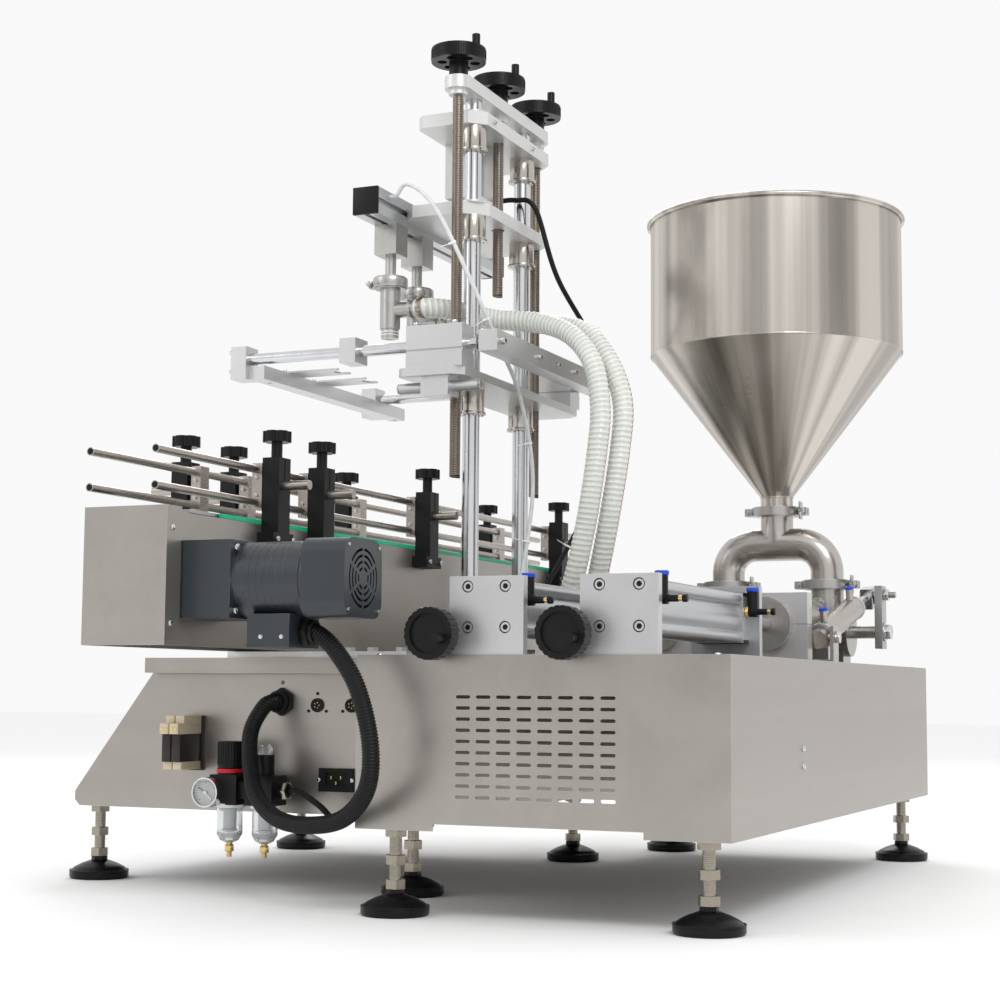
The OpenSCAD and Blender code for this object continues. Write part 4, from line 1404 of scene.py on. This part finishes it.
@dataclass
class AirSet:
    """The regulator, its bowls and gauge, and the relay block."""

    frame: Frame

    def build(self) -> None:
        """Dresses the air set and adds its clear and coloured parts."""
        for node, finish, reach in (
            ("regulator_body", "black", 0.0008),
            ("regulator_knob", "knob", 0.0008),
            ("pressure_gauge", "ground", 0.0003),
        ):
            self.frame.skin(node, finish, reach)
        self._bowls()
        self._gauge()
        self._rings()
        self._relays()

    def _bowls(self) -> None:
        """Clear cups with the cores and drains that show through them."""
        low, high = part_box("filter_bowls")
        y = (low.y + high.y) / 2
        spots = ((low.x + 0.017, y), (high.x - 0.017, y))
        cups, cores, drains = Piece("bowl_cups"), Piece("bowl_cores"), Piece("bowl_drains")
        for x, y in spots:
            cups.turned(
                [(0.0, 0.064), (0.006, 0.064), (0.012, 0.067), (0.0165, 0.075), (0.0168, 0.1115),
                 (0.0150, 0.1115), (0.0148, 0.078), (0.011, 0.070), (0.006, 0.0665), (0.0, 0.0665)],
                Axis.Z, (x, y, 0.0), 40, 0.0,
            )
            cores.rod(Axis.Z, (x, y, 0.082), 0.0085, 0.028)
            cores.ring(Axis.Z, (x, y, 0.1085), 0.0150, 0.0195, 0.005)
            cores.turned(
                [(0, 0.076), (0.010, 0.079), (0.010, 0.081), (0, 0.081)], Axis.Z, (x, y, 0), 28
            )
            drains.turned(
                [(0, 0.0455), (0.0032, 0.0455), (0.0032, 0.052), (0.0058, 0.053), (0.0058, 0.060),
                 (0.0042, 0.0615), (0.0042, 0.0655), (0, 0.0655)],
                Axis.Z, (x, y, 0), 24, 0.0003,
            )
        made = self.frame.add(cups, "base", "clear", Slot.BOWL)
        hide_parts("filter_bowls")
        self.frame.add(cores, "base", "tie", Slot.WHITE)
        self.frame.add(drains, "base", "brass", Slot.GAUGE)
        x, y = spots[1]
        dome = Piece("sight_dome")
        top = self.frame.high("regulator_body").z
        dome.turned(
            [(0, 0.014), (0.006, 0.013), (0.0095, 0.008), (0.0105, 0.0), (0, 0.0)],
            Axis.Z, (x, y, top + 0.0002), 32, 0.0002,
        )
        self.frame.add(dome, "base", "clear", Slot.BOWL)

    def _gauge(self) -> None:
        """Dial card, marks, hand and glass."""
        low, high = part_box("pressure_gauge")
        x, z = (low.x + high.x) / 2, (low.z + high.z) / 2
        face = low.y + 0.0050
        card, marks, glass = Piece("gauge_card"), Piece("gauge_marks"), Piece("gauge_glass")
        card.rod(Axis.FRONT, (x, face + 0.0004, z), 0.0165, 0.0008, 0.0)
        for k in range(21):
            turn = math.radians(225 - 270 * k / 20)
            way = Vector((math.cos(turn), 0, math.sin(turn)))
            long = 0.0035 if k % 5 == 0 else 0.002
            start = Vector((x, face - 0.0004, z)) + way * (0.0150 - long)
            marks.rod(way, start, 0.00035, long, 0.0, 6)
        turn = math.radians(150)
        way = Vector((math.cos(turn), 0, math.sin(turn)))
        marks.rod(way, Vector((x, face - 0.0012, z)) - way * 0.004, 0.0005, 0.016, 0.0, 8)
        marks.rod(Axis.FRONT, (x, face, z), 0.0018, 0.0018, 0.0002, 16)
        glass.rod(Axis.FRONT, (x, low.y + 0.0016, z), 0.0168, 0.0008, 0.0)
        self.frame.add(card, "base", "dial", Slot.WHITE)
        self.frame.add(marks, "base", "knob", Slot.BLACK)
        self.frame.add(glass, "base", "glass", Slot.BOWL)

    def _rings(self) -> None:
        """Lock ring under the knob, port ring and fittings at both ends."""
        low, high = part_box("regulator_body")
        knob = self.frame.low("regulator_knob")
        x, y = self.frame.middle("regulator_knob").xy
        ring = Piece("lock_ring")
        ring.ring(Axis.Z, (x, y, knob.z - 0.0062), 0.0170, 0.0182, 0.0052)
        self.frame.add(ring, "base", "red", Slot.BLACK)
        ports = Piece("port_rings")
        ports.ring(Axis.LEFT, (low.x + 0.009, y, 0.131), 0.0088, 0.0122, 0.012, 0.0010)
        self.frame.add(ports, "base", "cyan", Slot.BLACK)
        nuts = Piece("port_nuts")
        nuts.prism(Axis.X, (high.x - 0.007, y, 0.131), 0.0205, 0.0068)
        nuts.prism(Axis.LEFT, (low.x + 0.002, y, 0.131), 0.0150, 0.0018)
        self.frame.add(nuts, "base", "bush", Slot.GAUGE)
        ribs = Piece("knob_ribs")
        top = self.frame.high("regulator_knob").z
        for k in range(KNOB_RIBS):
            turn = FULL_TURN * k / KNOB_RIBS
            spot = around((x, y), 0.0168, turn, knob.z + 0.004)
            ribs.rod(Axis.Z, spot, 0.0009, top - knob.z - 0.006, 0.0, 6)
        self.frame.add(ribs, "regulator", "knob", Slot.BLACK)

    def _relays(self) -> None:
        """Cream sockets over two smoked cases."""
        low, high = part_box("relay_block")
        cases, tops, pins = Piece("relay_cases"), Piece("relay_tops"), Piece("relay_screws")
        back = high.y - 0.006
        cases.block((low.x, back, low.z), (high.x, high.y, high.z - 0.002), 0.0008)
        for k in range(2):
            left = low.x + 0.002 + 0.015 * k
            right = left + 0.0135
            cases.block((left, low.y + 0.006, low.z + 0.012), (right, back, high.z - 0.026), 0.0012)
            tops.block((left, low.y + 0.010, low.z + 0.002), (right, back, low.z + 0.0125), 0.001)
            tops.block((left, low.y, high.z - 0.026), (right, back, high.z - 0.012), 0.001)
            tops.block((left, low.y + 0.014, high.z - 0.0125), (right, back, high.z - 0.002), 0.001)
            for j in range(2):
                spot = (left + 0.0038 + 0.006 * j, low.y + 0.0002, high.z - 0.019)
                pins.rod(Axis.FRONT, spot, 0.0019, 0.0008, 0.0002, 16)
        made = self.frame.add(cases, "base", "smoke", Slot.RELAY)
        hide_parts("relay_block")
        self.frame.add(tops, "base", "cream", Slot.RELAY)
        self.frame.add(pins, "base", "brass", Slot.GAUGE)


@dataclass
class Conveyor:
    """Body, chain, motor and guide rails."""

    frame: Frame

    def build(self) -> None:
        """Dresses the conveyor and adds its screws, the painted shade in the rail ends, and chain
        joints.
        """
        for node, finish, reach in (
            ("conveyor_frame", "conveyor", 0.0008),
            ("wear_strips", "strip", 0.0010),
            ("slat_chain", "chain", 0.0),
            ("drive_roller", "roller", 0.0008),
            ("idle_roller", "roller", 0.0008),
            ("rail_posts", "black", 0.0014),
            ("rail_knobs", "knob", 0.0012),
            ("left_rails", "drawn", 0.0006),
            ("right_rails", "drawn", 0.0006),
        ):
            self.frame.skin(node, finish, reach)
        self._motor()
        self._screws()
        self._rail_ends()
        self._chain_joints()

    def _motor(self) -> None:
        """Housing seams, gearbox screws and the sleeve's gland."""
        self.frame.skin("gear_motor", "motor", 0.0012)
        self.frame.skin("motor_fan", "black", 0.0004)
        low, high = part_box("gear_motor")
        y, z = (low.y + high.y) / 2, high.z - 0.045
        seams = Piece("motor_seams")
        for x, wide in ((low.x + 0.069, 0.0446), (low.x + 0.152, 0.0450), (low.x + 0.156, 0.0446)):
            seams.ring(Axis.X, (x, y, z), 0.042, wide, 0.0022, 0.0006)
        for k in range(7):
            seams.ring(Axis.X, (low.x + 0.080 + 0.009 * k, y, z), 0.0436, 0.0444, 0.0012, 0.0003)
        self.frame.add(seams, "base", "motor", Slot.MOTOR)
        screws = Piece("gearbox_screws")
        for dy, dz in product((-0.036, 0.036), (-0.036, 0.036)):
            screws.cap_screw(Axis.X, (low.x + 0.067, y + dy, z + dz), 0.005)
            screws.cap_screw(Axis.X, (high.x - 0.0005, y + dy, z + dz), 0.0024)
        for dx in (0.020, 0.050):
            screws.turned(
                [(0, 0), (0.003, 0), (0.0024, 0.0012), (0, 0.0016)],
                Axis.FRONT, (low.x + 0.084 + dx * 0.9, low.y + 0.0112, low.z + 0.012), 16,
            )
        self.frame.add(screws, "base", "ground", Slot.GAUGE)
        gland = Piece("sleeve_gland")
        gland.prism(Axis.X, (0.0225, -0.590, 0.324), 0.030, 0.009, 6, 0.0)
        gland.ring(Axis.X, (0.0315, -0.590, 0.324), 0.0106, 0.0135, 0.006)
        self.frame.add(gland, "base", "black", Slot.BLACK)

    def _screws(self) -> None:
        """Button screws along the side plates, end covers and rail brackets."""
        low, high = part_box("conveyor_frame")
        piece = Piece("conveyor_screws")
        head = [(0, 0), (0.0040, 0), (0.0034, 0.0016), (0.0018, 0.0022), (0, 0.0022)]
        for axis, x in ((Axis.X, high.x), (Axis.LEFT, low.x)):
            for y, z in product((low.y + 0.012, high.y - 0.012), (low.z + 0.025, high.z - 0.025)):
                piece.turned(head, axis, (x, y, z), 18, 0.0002)
            inner = x - 0.002 if axis is Axis.X else x + 0.002
            for y in (-0.48, -0.24, 0.0, 0.24, 0.48):
                piece.turned(head, axis, (inner, y, low.z + 0.070), 18, 0.0002)
        for y in STATIONS:
            for axis, x in ((Axis.X, high.x + 0.022), (Axis.LEFT, low.x - 0.022)):
                for dy in (-0.018, 0.018):
                    piece.cap_screw(axis, (x, y + dy, 0.444), 0.004)
        self.frame.add(piece, "base", "ground", Slot.TUBE)

    def _rail_ends(self) -> None:
        """Painted shade in the open ends of the rail tubes, and set screws in their blocks."""
        for node, body in (("left_rails", "rail_left"), ("right_rails", "rail_right")):
            low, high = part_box(node)
            x = RAIL_X[node]
            bore_shade, screws = Piece(f"{node}_bores"), Piece(f"{node}_screws")
            for z in RAIL_Z:
                bore_shade.rod(Axis.FRONT, (x, low.y, z), 0.0038, 0.0003, 0.0)
                bore_shade.rod(Axis.Y, (x, high.y, z), 0.0038, 0.0003, 0.0)
            for y, z in product(STATIONS, (0.500, 0.522)):
                screws.cap_screw(Axis.FRONT, (x, y - 0.010, z), 0.0028)
            self.frame.add(bore_shade, body, "knob", Slot.BLACK)
            self.frame.add(screws, body, "ground", Slot.TUBE)

    def _chain_joints(self) -> None:
        """Hinge knuckles in the gap of each pair of slats."""
        low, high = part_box("slat_chain")
        piece = Piece("chain_knuckles")
        pitch = 0.038
        for k in range(1, round((high.y - low.y) / pitch)):
            y = low.y + pitch * k
            for side in (-1, 0, 1):
                x = (low.x + high.x) / 2 + side * 0.026
                piece.rod(Axis.X, (x - 0.009, y, high.z - 0.0012), 0.0019, 0.018, 0.0002, 10)
        self.frame.add(piece, "base", "ground", Slot.CHAIN)


@dataclass
class Head:
    """Columns, lead screws, plates, nozzles and the sliding locator."""

    frame: Frame
    wheels: Sequence[tuple[str, float]] = (("near", -0.055), ("middle", 0.091), ("far", 0.237))

    def build(self) -> None:
        """Dresses the head and adds its threads, screws and fittings."""
        for node, finish, reach in (
            ("head_columns", "ground", 0.0005),
            ("top_bar", "white", 0.0010),
            ("upper_plate", "white", 0.0010),
            ("dive_plate", "white", 0.0010),
            ("low_carriage", "plate", 0.0010),
            ("slide_frame", "plate", 0.0008),
            ("bottle_locator", "plate", 0.0008),
            ("lift_cylinder", "plate", 0.0010),
            ("nozzle_beam", "profile", 0.0006),
            ("nozzle_bodies", "cast", 0.0007),
            ("plunger_near", "ground", 0.0),
            ("plunger_far", "ground", 0.0),
        ):
            self.frame.skin(node, finish, reach)
        for name, y in self.wheels:
            self._screw(name, y)
            self._wheel(name, y)
        self._bushes()
        self._plate_screws()
        self._beam_details()
        self._slide_details()
        self._nozzle_details()

    def _screw(self, name: str, y: float) -> None:
        """Stands a real thread and its plain journal for one lead screw."""
        node = f"screw_{name}"
        low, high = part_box(node)
        piece = Piece(f"lead_{name}")
        x = (low.x + high.x) / 2
        radius = (high.x - low.x) / 2
        top = self.frame.low("top_bar").z - 0.0003
        piece.thread(Axis.Z, (x, y, low.z), radius, top - low.z, 0.005, 0.0008, 20, 2)
        piece.rod(Axis.Z, (x, y, top), 0.006, high.z - top, 0.0006)
        made = self.frame.add(piece, f"{name}_screw", "thread", Slot.SCREW)
        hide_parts(node)

    def _wheel(self, name: str, y: float) -> None:
        """Dresses a hand wheel and gives it its knurled rim and hub screw."""
        node = f"wheel_{name}"
        self.frame.skin(node, "knob", 0.0014)
        low = self.frame.low(node)
        x = self.frame.middle(f"screw_{name}").x
        rim = low.z + 0.022
        ribs, hub = Piece(f"wheel_ribs_{name}"), Piece(f"wheel_hub_{name}")
        radius = 0.0398
        for k in range(WHEEL_RIBS):
            turn = FULL_TURN * k / WHEEL_RIBS
            spot = around((x, y), radius, turn, rim + 0.003)
            ribs.rod(Axis.Z, spot, 0.0007, 0.014, 0.0, 6)
        self.frame.add(ribs, f"{name}_screw", "knob", Slot.BLACK)
        top = low.z + 0.040
        hub.ring(Axis.Z, (x, y, top - 0.0005), 0.0062, 0.0105, 0.0022)
        hub.cap_screw(Axis.Z, (x, y, self.frame.high(f"screw_{name}").z), 0.0052)
        self.frame.add(hub, f"{name}_screw", "bush", Slot.GAUGE)

    def _bushes(self) -> None:
        """Nickel sleeves and flanges round the bushes under each plate."""
        x = self.frame.middle("head_columns").x
        low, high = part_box("head_columns")
        columns = (low.y + 0.025, high.y - 0.025)
        for label, node, body in (
            ("upper", "upper_plate", "head_upper"),
            ("dive", "dive_plate", "head_dive"),
            ("carriage", "low_carriage", "carriage"),
        ):
            low = self._under(node)
            piece, screws = Piece(f"bush_sleeves_{label}"), Piece(f"bush_screws_{label}")
            for y in columns:
                piece.ring(Axis.Z, (x, y, low + 0.0040), 0.0188, 0.0194, 0.0335, 0.0003)
                piece.ring(Axis.Z, (x, y, low - 0.0002), 0.0130, 0.0213, 0.0042, 0.0005)
                for k in range(4):
                    turn = math.pi / 4 + math.pi / 2 * k
                    spot = around((x, y), 0.0172, turn, low)
                    screws.rod(Axis.DOWN, spot, 0.0019, 0.0016, 0.0003, 12)
            self.frame.add(piece, body, "bush", Slot.GAUGE)
            self.frame.add(screws, body, "ground", Slot.GAUGE)
            self._collars(label, node, body, columns)

    def _collars(self, label: str, node: str, body: str, columns: Sequence[float]) -> None:
        """Pale flanges round the columns on top of a plate."""
        x = self.frame.middle("head_columns").x
        top = {
            "upper_plate": self.frame.high("upper_plate").z,
            "dive_plate": self.frame.high("nozzle_beam").z - DIVE_TOP,
            "low_carriage": self.frame.low("low_carriage").z + 0.050,
        }[node]
        piece = Piece(f"plate_collars_{label}")
        for y in columns:
            piece.ring(Axis.Z, (x, y, top), 0.0131, 0.0196, 0.0034, 0.0005)
        self.frame.add(piece, body, "white", Slot.PLATE)

    def _under(self, node: str) -> float:
        """The underside of the bushes that hang below a plate."""
        if node == "dive_plate":
            return self.frame.high("nozzle_beam").z - DIVE_BUSH
        if node == "low_carriage":
            return self.frame.low("low_carriage").z
        return self.frame.low(node).z

    def _plate_screws(self) -> None:
        """Socket screws in the top bar, both plates and the carriage."""
        x = self.frame.middle("head_columns").x
        top = self.frame.high("top_bar").z
        piece = Piece("top_bar_screws")
        for y in (-0.001, 0.183):
            piece.cap_screw(Axis.Z, (x, y, top), 0.007)
        for y in (-0.020, 0.055, 0.127, 0.202):
            piece.cap_screw(Axis.Z, (x - 0.012, y, top), 0.004)
        self.frame.add(piece, "base", "ground", Slot.GROUND)
        upper = self.frame.high("upper_plate")
        piece = Piece("upper_plate_screws")
        for y, dx in product((0.075, 0.107), (-0.103, -0.075)):
            piece.cap_screw(Axis.Z, (dx, y, upper.z), 0.005)
        for y in (0.018, 0.164):
            piece.cap_screw(Axis.X, (upper.x - 0.0001, y, upper.z - 0.0095), 0.004)
        self.frame.add(piece, "head_upper", "ground", Slot.GROUND)
        dive = self.frame.high("nozzle_beam").z - DIVE_TOP
        piece = Piece("dive_plate_screws")
        for y in (0.010, 0.050, 0.160, 0.215):
            piece.cap_screw(Axis.Z, (-0.130, y, dive), 0.005)
        self.frame.add(piece, "head_dive", "ground", Slot.GROUND)
        low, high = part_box("low_carriage")
        piece = Piece("carriage_screws")
        for y, dx in product((low.y + 0.024, high.y - 0.024), (-0.070, -0.010)):
            for dy in (-0.014, 0.014):
                piece.cap_screw(Axis.Z, (dx, y + dy, high.z), 0.005)
        for y in (0.045, 0.137):
            piece.cap_screw(Axis.Z, (-0.080, y, low.z + 0.050), 0.005)
        piece.paint_socket_shade("carriage", self.frame.finishes["knob"])
        self.frame.add(piece, "carriage", "ground", Slot.GROUND)

    def _beam_details(self) -> None:
        """End caps and bolts of the nozzle beam, and the lift cylinder's ports."""
        low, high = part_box("nozzle_beam")
        piece = Piece("beam_caps")
        for y0, y1 in ((low.y - 0.0012, low.y + 0.004), (high.y - 0.004, high.y + 0.0012)):
            near = (low.x - 0.0004, y0, low.z - 0.0004)
            piece.block(near, (high.x + 0.0004, y1, high.z + 0.0004), 0.0012)
        self.frame.add(piece, "head_dive", "black", Slot.BLACK)
        bolts = Piece("beam_bolts")
        for y in (-0.040, 0.020, 0.076, 0.150, 0.220):
            bolts.cap_screw(Axis.Z, (-0.164, y, high.z - 0.0005), 0.005)
        bolts.paint_socket_shade("head_dive", self.frame.finishes["knob"])
        self.frame.add(bolts, "head_dive", "ground", Slot.GROUND)
        ports = Piece("lift_ports")
        low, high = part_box("lift_cylinder")
        for z in (low.z + 0.012, high.z - 0.014):
            ports.ring(Axis.Y, (-0.072, high.y - 0.006, z), 0.0058, 0.0074, 0.005)
        self.frame.add(ports, "head_upper", "blue", Slot.BLACK)

    def _slide_details(self) -> None:
        """Screws, rod rings and ground sleeves of the slide and the locator."""
        low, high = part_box("slide_frame")
        piece = Piece("slide_screws")
        for y in (low.y + 0.017, high.y - 0.017):
            for z in (-0.018, 0.010):
                piece.cap_screw(Axis.LEFT, (low.x, y - 0.010, ROD_Z + z), 0.004)
                piece.cap_screw(Axis.LEFT, (low.x, y + 0.010, ROD_Z + z), 0.004)
            piece.cap_screw(Axis.X, (high.x, y, ROD_Z), 0.007)
        for y in (0.02, 0.091, 0.16):
            piece.cap_screw(Axis.X, (high.x, y, ROD_Z), 0.005)
        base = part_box("bottle_locator")
        for y in (-0.040, -0.012, 0.048, 0.076):
            piece.cap_screw(Axis.Z, (base[0].x + 0.013, y, base[1].z), 0.004)
        piece.paint_socket_shade("slide", self.frame.finishes["knob"])
        self.frame.add(piece, "slide", "ground", Slot.GROUND)
        clamp = Piece("carriage_ports")
        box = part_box("low_carriage")
        y = box[0].y + 0.024
        for axis, x in ((Axis.LEFT, -0.100), (Axis.X, 0.022)):
            clamp.prism(axis, (x, y, 0.683), 0.014, 0.003)
        rods = (low.y + 0.017, high.y - 0.017)
        for y in rods:
            for axis, x in ((Axis.X, box[1].x), (Axis.LEFT, -0.083)):
                clamp.ring(axis, (x, y, ROD_Z), 0.0086, 0.0128, 0.0016, 0.0004)
        self.frame.add(clamp, "carriage", "bush", Slot.GAUGE)
        sleeves = Piece("slide_rods")
        for y in rods:
            start = low.x + 0.026
            sleeves.ring(Axis.X, (start, y, ROD_Z), 0.0078, 0.00803, -start + 0.028, 0.0)
        self.frame.add(sleeves, "slide", "ground", Slot.GROUND)

    def _nozzle_details(self) -> None:
        """Clamp bands, gaskets and hose barbs of the two nozzles."""
        bands, seals = Piece("nozzle_clamps"), Piece("nozzle_seals")
        x = self.frame.middle("nozzle_beam").x
        for y in (-0.026, 0.062):
            bands.turned(
                [(0.0215, -0.0075), (0.0255, -0.0075), (0.0262, -0.003), (0.0262, 0.003),
                 (0.0255, 0.0075), (0.0215, 0.0075)],
                Axis.Z, (x, y, 0.859), 36, 0.0005,
            )
            bands.block((x - 0.034, y - 0.005, 0.853), (x - 0.024, y + 0.005, 0.865), 0.001)
            bands.rod(Axis.FRONT, (x - 0.030, y + 0.010, 0.859), 0.0022, 0.022)
            bands.prism(Axis.FRONT, (x - 0.030, y - 0.006, 0.859), 0.008, 0.007, 4)
            for z in (0.780, 0.7845):
                seals.ring(Axis.Z, (x, y, z), 0.0122, 0.0137, 0.0016, 0.0005)
            seals.ring(Axis.Z, (x, y, 0.8585), 0.0200, 0.0236, 0.0012, 0.0003)
        self.frame.add(bands, "head_dive", "cast", Slot.CLAMP)
        self.frame.add(seals, "head_dive", "tie", Slot.WHITE)


@dataclass
class Dosing:
    """Air cylinders, product cylinders, valve, hopper and volume wheels."""

    frame: Frame
    lines: Sequence[float] = (0.216, 0.376)

    def build(self) -> None:
        """Dresses the dosing lines and adds their fittings and clamps."""
        for node, finish, reach in (
            ("mount_plates", "plate", 0.0010),
            ("air_cylinders", "barrel", 0.0008),
            ("air_fittings", "black", 0.0006),
            ("product_cylinders", "product", 0.0007),
            ("valve_bodies", "product", 0.0008),
            ("valve_lever", "cast", 0.0009),
            ("valve_actuator", "drawn", 0.0006),
            ("actuator_rod", "ground", 0.0004),
            ("piston_a", "ground", 0.0),
            ("piston_b", "ground", 0.0),
            ("hopper", "hopper", 0.0),
            ("manifold", "pipe", 0.0),
            ("tri_clamps", "cast", 0.0008),
        ):
            self.frame.skin(node, finish, reach)
        for name in ("a", "b"):
            self._volume_wheel(name)
        self._fittings()
        self._plate_screw_shade()
        self._end_caps()
        self._clamp_nuts()
        self._lever_hardware()
        self._hopper_seams()

    def _volume_wheel(self, name: str) -> None:
        """Dresses a volume wheel and adds its hub and the screw's thread."""
        node = f"volume_wheel_{name}"
        self.frame.skin(node, "knob", 0.0012)
        low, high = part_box(node)
        middle = (low.x + high.x) / 2
        z = 0.323
        ribs, hub = Piece(f"volume_ribs_{name}"), Piece(f"volume_hub_{name}")
        face = high.y - 0.098
        for k in range(48):
            turn = FULL_TURN * (k + 0.5) / 48
            spot = (middle + 0.0293 * math.cos(turn), face + 0.003, z + 0.0293 * math.sin(turn))
            ribs.rod(Axis.Y, spot, 0.0007, 0.014, 0.0, 6)
        self.frame.add(ribs, f"volume_{name}", "knob", Slot.BLACK)
        hub.ring(Axis.FRONT, (middle, face + 0.0052, z), 0.0180, 0.0200, 0.0010)
        hub.thread(Axis.Y, (middle, high.y - 0.060, z), 0.0064, 0.010, 0.0015, 0.0004)
        self.frame.add(hub, f"volume_{name}", "knob", Slot.BLACK)

    def _fittings(self) -> None:
        """Blue rings, brass screws and black caps on the flow elbows."""
        rings, brass, caps = Piece("elbow_rings"), Piece("elbow_brass"), Piece("elbow_caps")
        low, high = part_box("air_fittings")
        for x, y in product(self.lines, (low.y + 0.007, high.y - 0.007)):
            rings.ring(Axis.Z, (x + 0.041, y, 0.3878), 0.0040, 0.0080, 0.0050, 0.0008)
            brass.prism(Axis.X, (x + 0.0322, y, 0.362), 0.0136, 0.004)
            brass.rod(Axis.X, (x + 0.0598, y, 0.362), 0.0030, 0.006)
            caps.rod(Axis.X, (x + 0.0650, y, 0.362), 0.0045, 0.0060, 0.0008)
        self.frame.add(rings, "base", "blue", Slot.BLACK)
        self.frame.add(brass, "base", "brass", Slot.GAUGE)
        self.frame.add(caps, "base", "knob", Slot.BLACK)
        low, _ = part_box("valve_actuator")
        pair, ends = Piece("actuator_rings"), Piece("actuator_nuts")
        lean = math.atan2(PIN_Z - PIVOT_YZ[1], VALVE_Y - PIVOT_YZ[0])
        way = Vector((0, math.cos(lean), math.sin(lean)))
        up = Vector((0, -math.sin(lean), math.cos(lean)))
        pivot = Vector((0.440, *PIVOT_YZ))
        for along in (0.030, 0.195):
            spot = pivot + way * along + up * 0.0318
            pair.ring(up, spot, 0.0030, 0.0062, 0.0045, 0.0006)
        for along in (0.008, 0.209):
            ends.ring(way, pivot + way * along, 0.0130, 0.0182, 0.006, 0.0008)
        self.frame.add(pair, "actuator", "blue", Slot.BLACK)
        self.frame.add(ends, "actuator", "barrel", Slot.CYLINDER)

    def _plate_screw_shade(self) -> None:
        """Painted shade: dark hexagons in the front plates' screw sockets and dark rings in their
        counterbore gaps.
        """
        front = self.frame.low("mount_plates").y
        piece = Piece("plate_screw_shade")
        for x, dx in product(self.lines, (-0.02325, 0.02325)):
            for dz in (-0.02325, 0.02325):
                spot = (x + dx, front + 0.0011, LINE_Z + dz)
                piece.prism(Axis.FRONT, spot, 0.0056, 0.0004)
                gap = (spot[0], front + 0.0078, spot[2])
                piece.ring(Axis.FRONT, gap, 0.0057, 0.0069, 0.0004, 0.0)
        self.frame.add(piece, "base", "knob", Slot.BLACK)

    def _end_caps(self) -> None:
        """Black heads over the ends of the air cylinders, with tie rod nuts."""
        low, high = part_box("air_cylinders")
        caps, nuts = Piece("cylinder_heads"), Piece("tie_rod_nuts")
        for x in self.lines:
            y = low.y + 0.360
            for z0, z1 in ((-0.0325, -0.0275), (0.0275, 0.0325)):
                near = (x - 0.0325, y + 0.0008, LINE_Z + z0)
                caps.block(near, (x + 0.0325, y + 0.0272, LINE_Z + z1), 0.0012)
            for x0, x1 in ((-0.0325, -0.0290), (0.0290, 0.0318)):
                caps.block((x + x0, y + 0.0008, 0.3265), (x + x1, y + 0.0272, 0.3815), 0.0008)
            for dx, dz in product((-0.0233, 0.0233), (-0.0233, 0.0233)):
                nuts.cap_screw(Axis.Y, (x + dx * 1.5, high.y, LINE_Z + dz * 1.5 * 0.9), 0.0045)
        self.frame.add(caps, "base", "black", Slot.BLACK)
        self.frame.add(nuts, "base", "ground", Slot.GROUND)

    def _clamp_nuts(self) -> None:
        """Wing nuts and white gaskets on the pipe clamps."""
        nuts, seals = Piece("clamp_wings"), Piece("pipe_seals")
        hopper = (*HOPPER_XY, 0.545)
        uprights = [hopper] + [(x, VALVE_Y, 0.428) for x in self.lines]
        for x, y, z in uprights:
            spot = Vector((x + 0.044, y - 0.0128, z))
            nuts.rod(Axis.FRONT, spot, 0.0052, 0.007, 0.0008, 18)
            for low, high in ((0.003, 0.014), (-0.014, -0.003)):
                near = spot + Vector((-0.0018, -0.015, low))
                nuts.block(near, spot + Vector((0.0018, -0.002, high)), 0.0012)
            seals.ring(Axis.Z, (x, y, z - 0.0009), 0.0262, 0.0345, 0.0018, 0.0004)
        for x in self.lines:
            seals.ring(Axis.Y, (x, 0.3500, LINE_Z), 0.0262, 0.0345, 0.0018, 0.0004)
        self.frame.add(nuts, "base", "cast", Slot.CLAMP)
        self.frame.add(seals, "base", "tie", Slot.WHITE)

    def _lever_hardware(self) -> None:
        """Nuts and washers at the valve lever and the clevis pin."""
        piece = Piece("lever_nuts")
        piece.ring(Axis.X, (0.4652, VALVE_Y, LINE_Z), 0.0102, 0.0150, 0.002)
        piece.prism(Axis.X, (0.4672, VALVE_Y, LINE_Z), 0.022, 0.0085)
        piece.prism(Axis.X, (0.4655, VALVE_Y, PIN_Z), 0.017, 0.007)
        piece.ring(Axis.X, (0.4285, VALVE_Y, PIN_Z), 0.0030, 0.0085, 0.0015)
        self.frame.add(piece, "lever", "ground", Slot.GROUND)
        pin = Piece("pivot_nuts")
        pin.prism(Axis.X, (0.4631, *PIVOT_YZ), 0.016, 0.006)
        pin.prism(Axis.LEFT, (0.4169, *PIVOT_YZ), 0.016, 0.006)
        self.frame.add(pin, "actuator", "ground", Slot.GROUND)

    def _hopper_seams(self) -> None:
        """Weld beads where the hopper's cone meets its barrel and outlet."""
        piece = Piece("hopper_welds")
        x, y = HOPPER_XY
        top = self.frame.high("hopper").z
        for radius, z in ((0.2000, top - 0.218), (0.0258, 0.5675)):
            bead = [(radius - 0.0008, -0.0016), (radius + 0.0005, -0.0010), (radius + 0.0007, 0.0),
                    (radius + 0.0005, 0.0010), (radius - 0.0008, 0.0016)]
            piece.turned(bead, Axis.Z, (x, y, z), 128)
        self.frame.add(piece, "base", "hopper", Slot.SHEET)


def main() -> None:
    """Builds the studio and every sub-assembly around the loaded frame."""
    logging.basicConfig(level=logging.INFO, format="%(name)s: %(message)s")
    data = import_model()
    studio = Studio()
    studio.camera()
    frame = Frame(data, Finishes())
    Hoses(frame).build()
    Cabinets(frame).build()
    AirSet(frame).build()
    Conveyor(frame).build()
    Head(frame).build()
    Dosing(frame).build()
    studio.room()


if __name__ == "__main__":
    main()
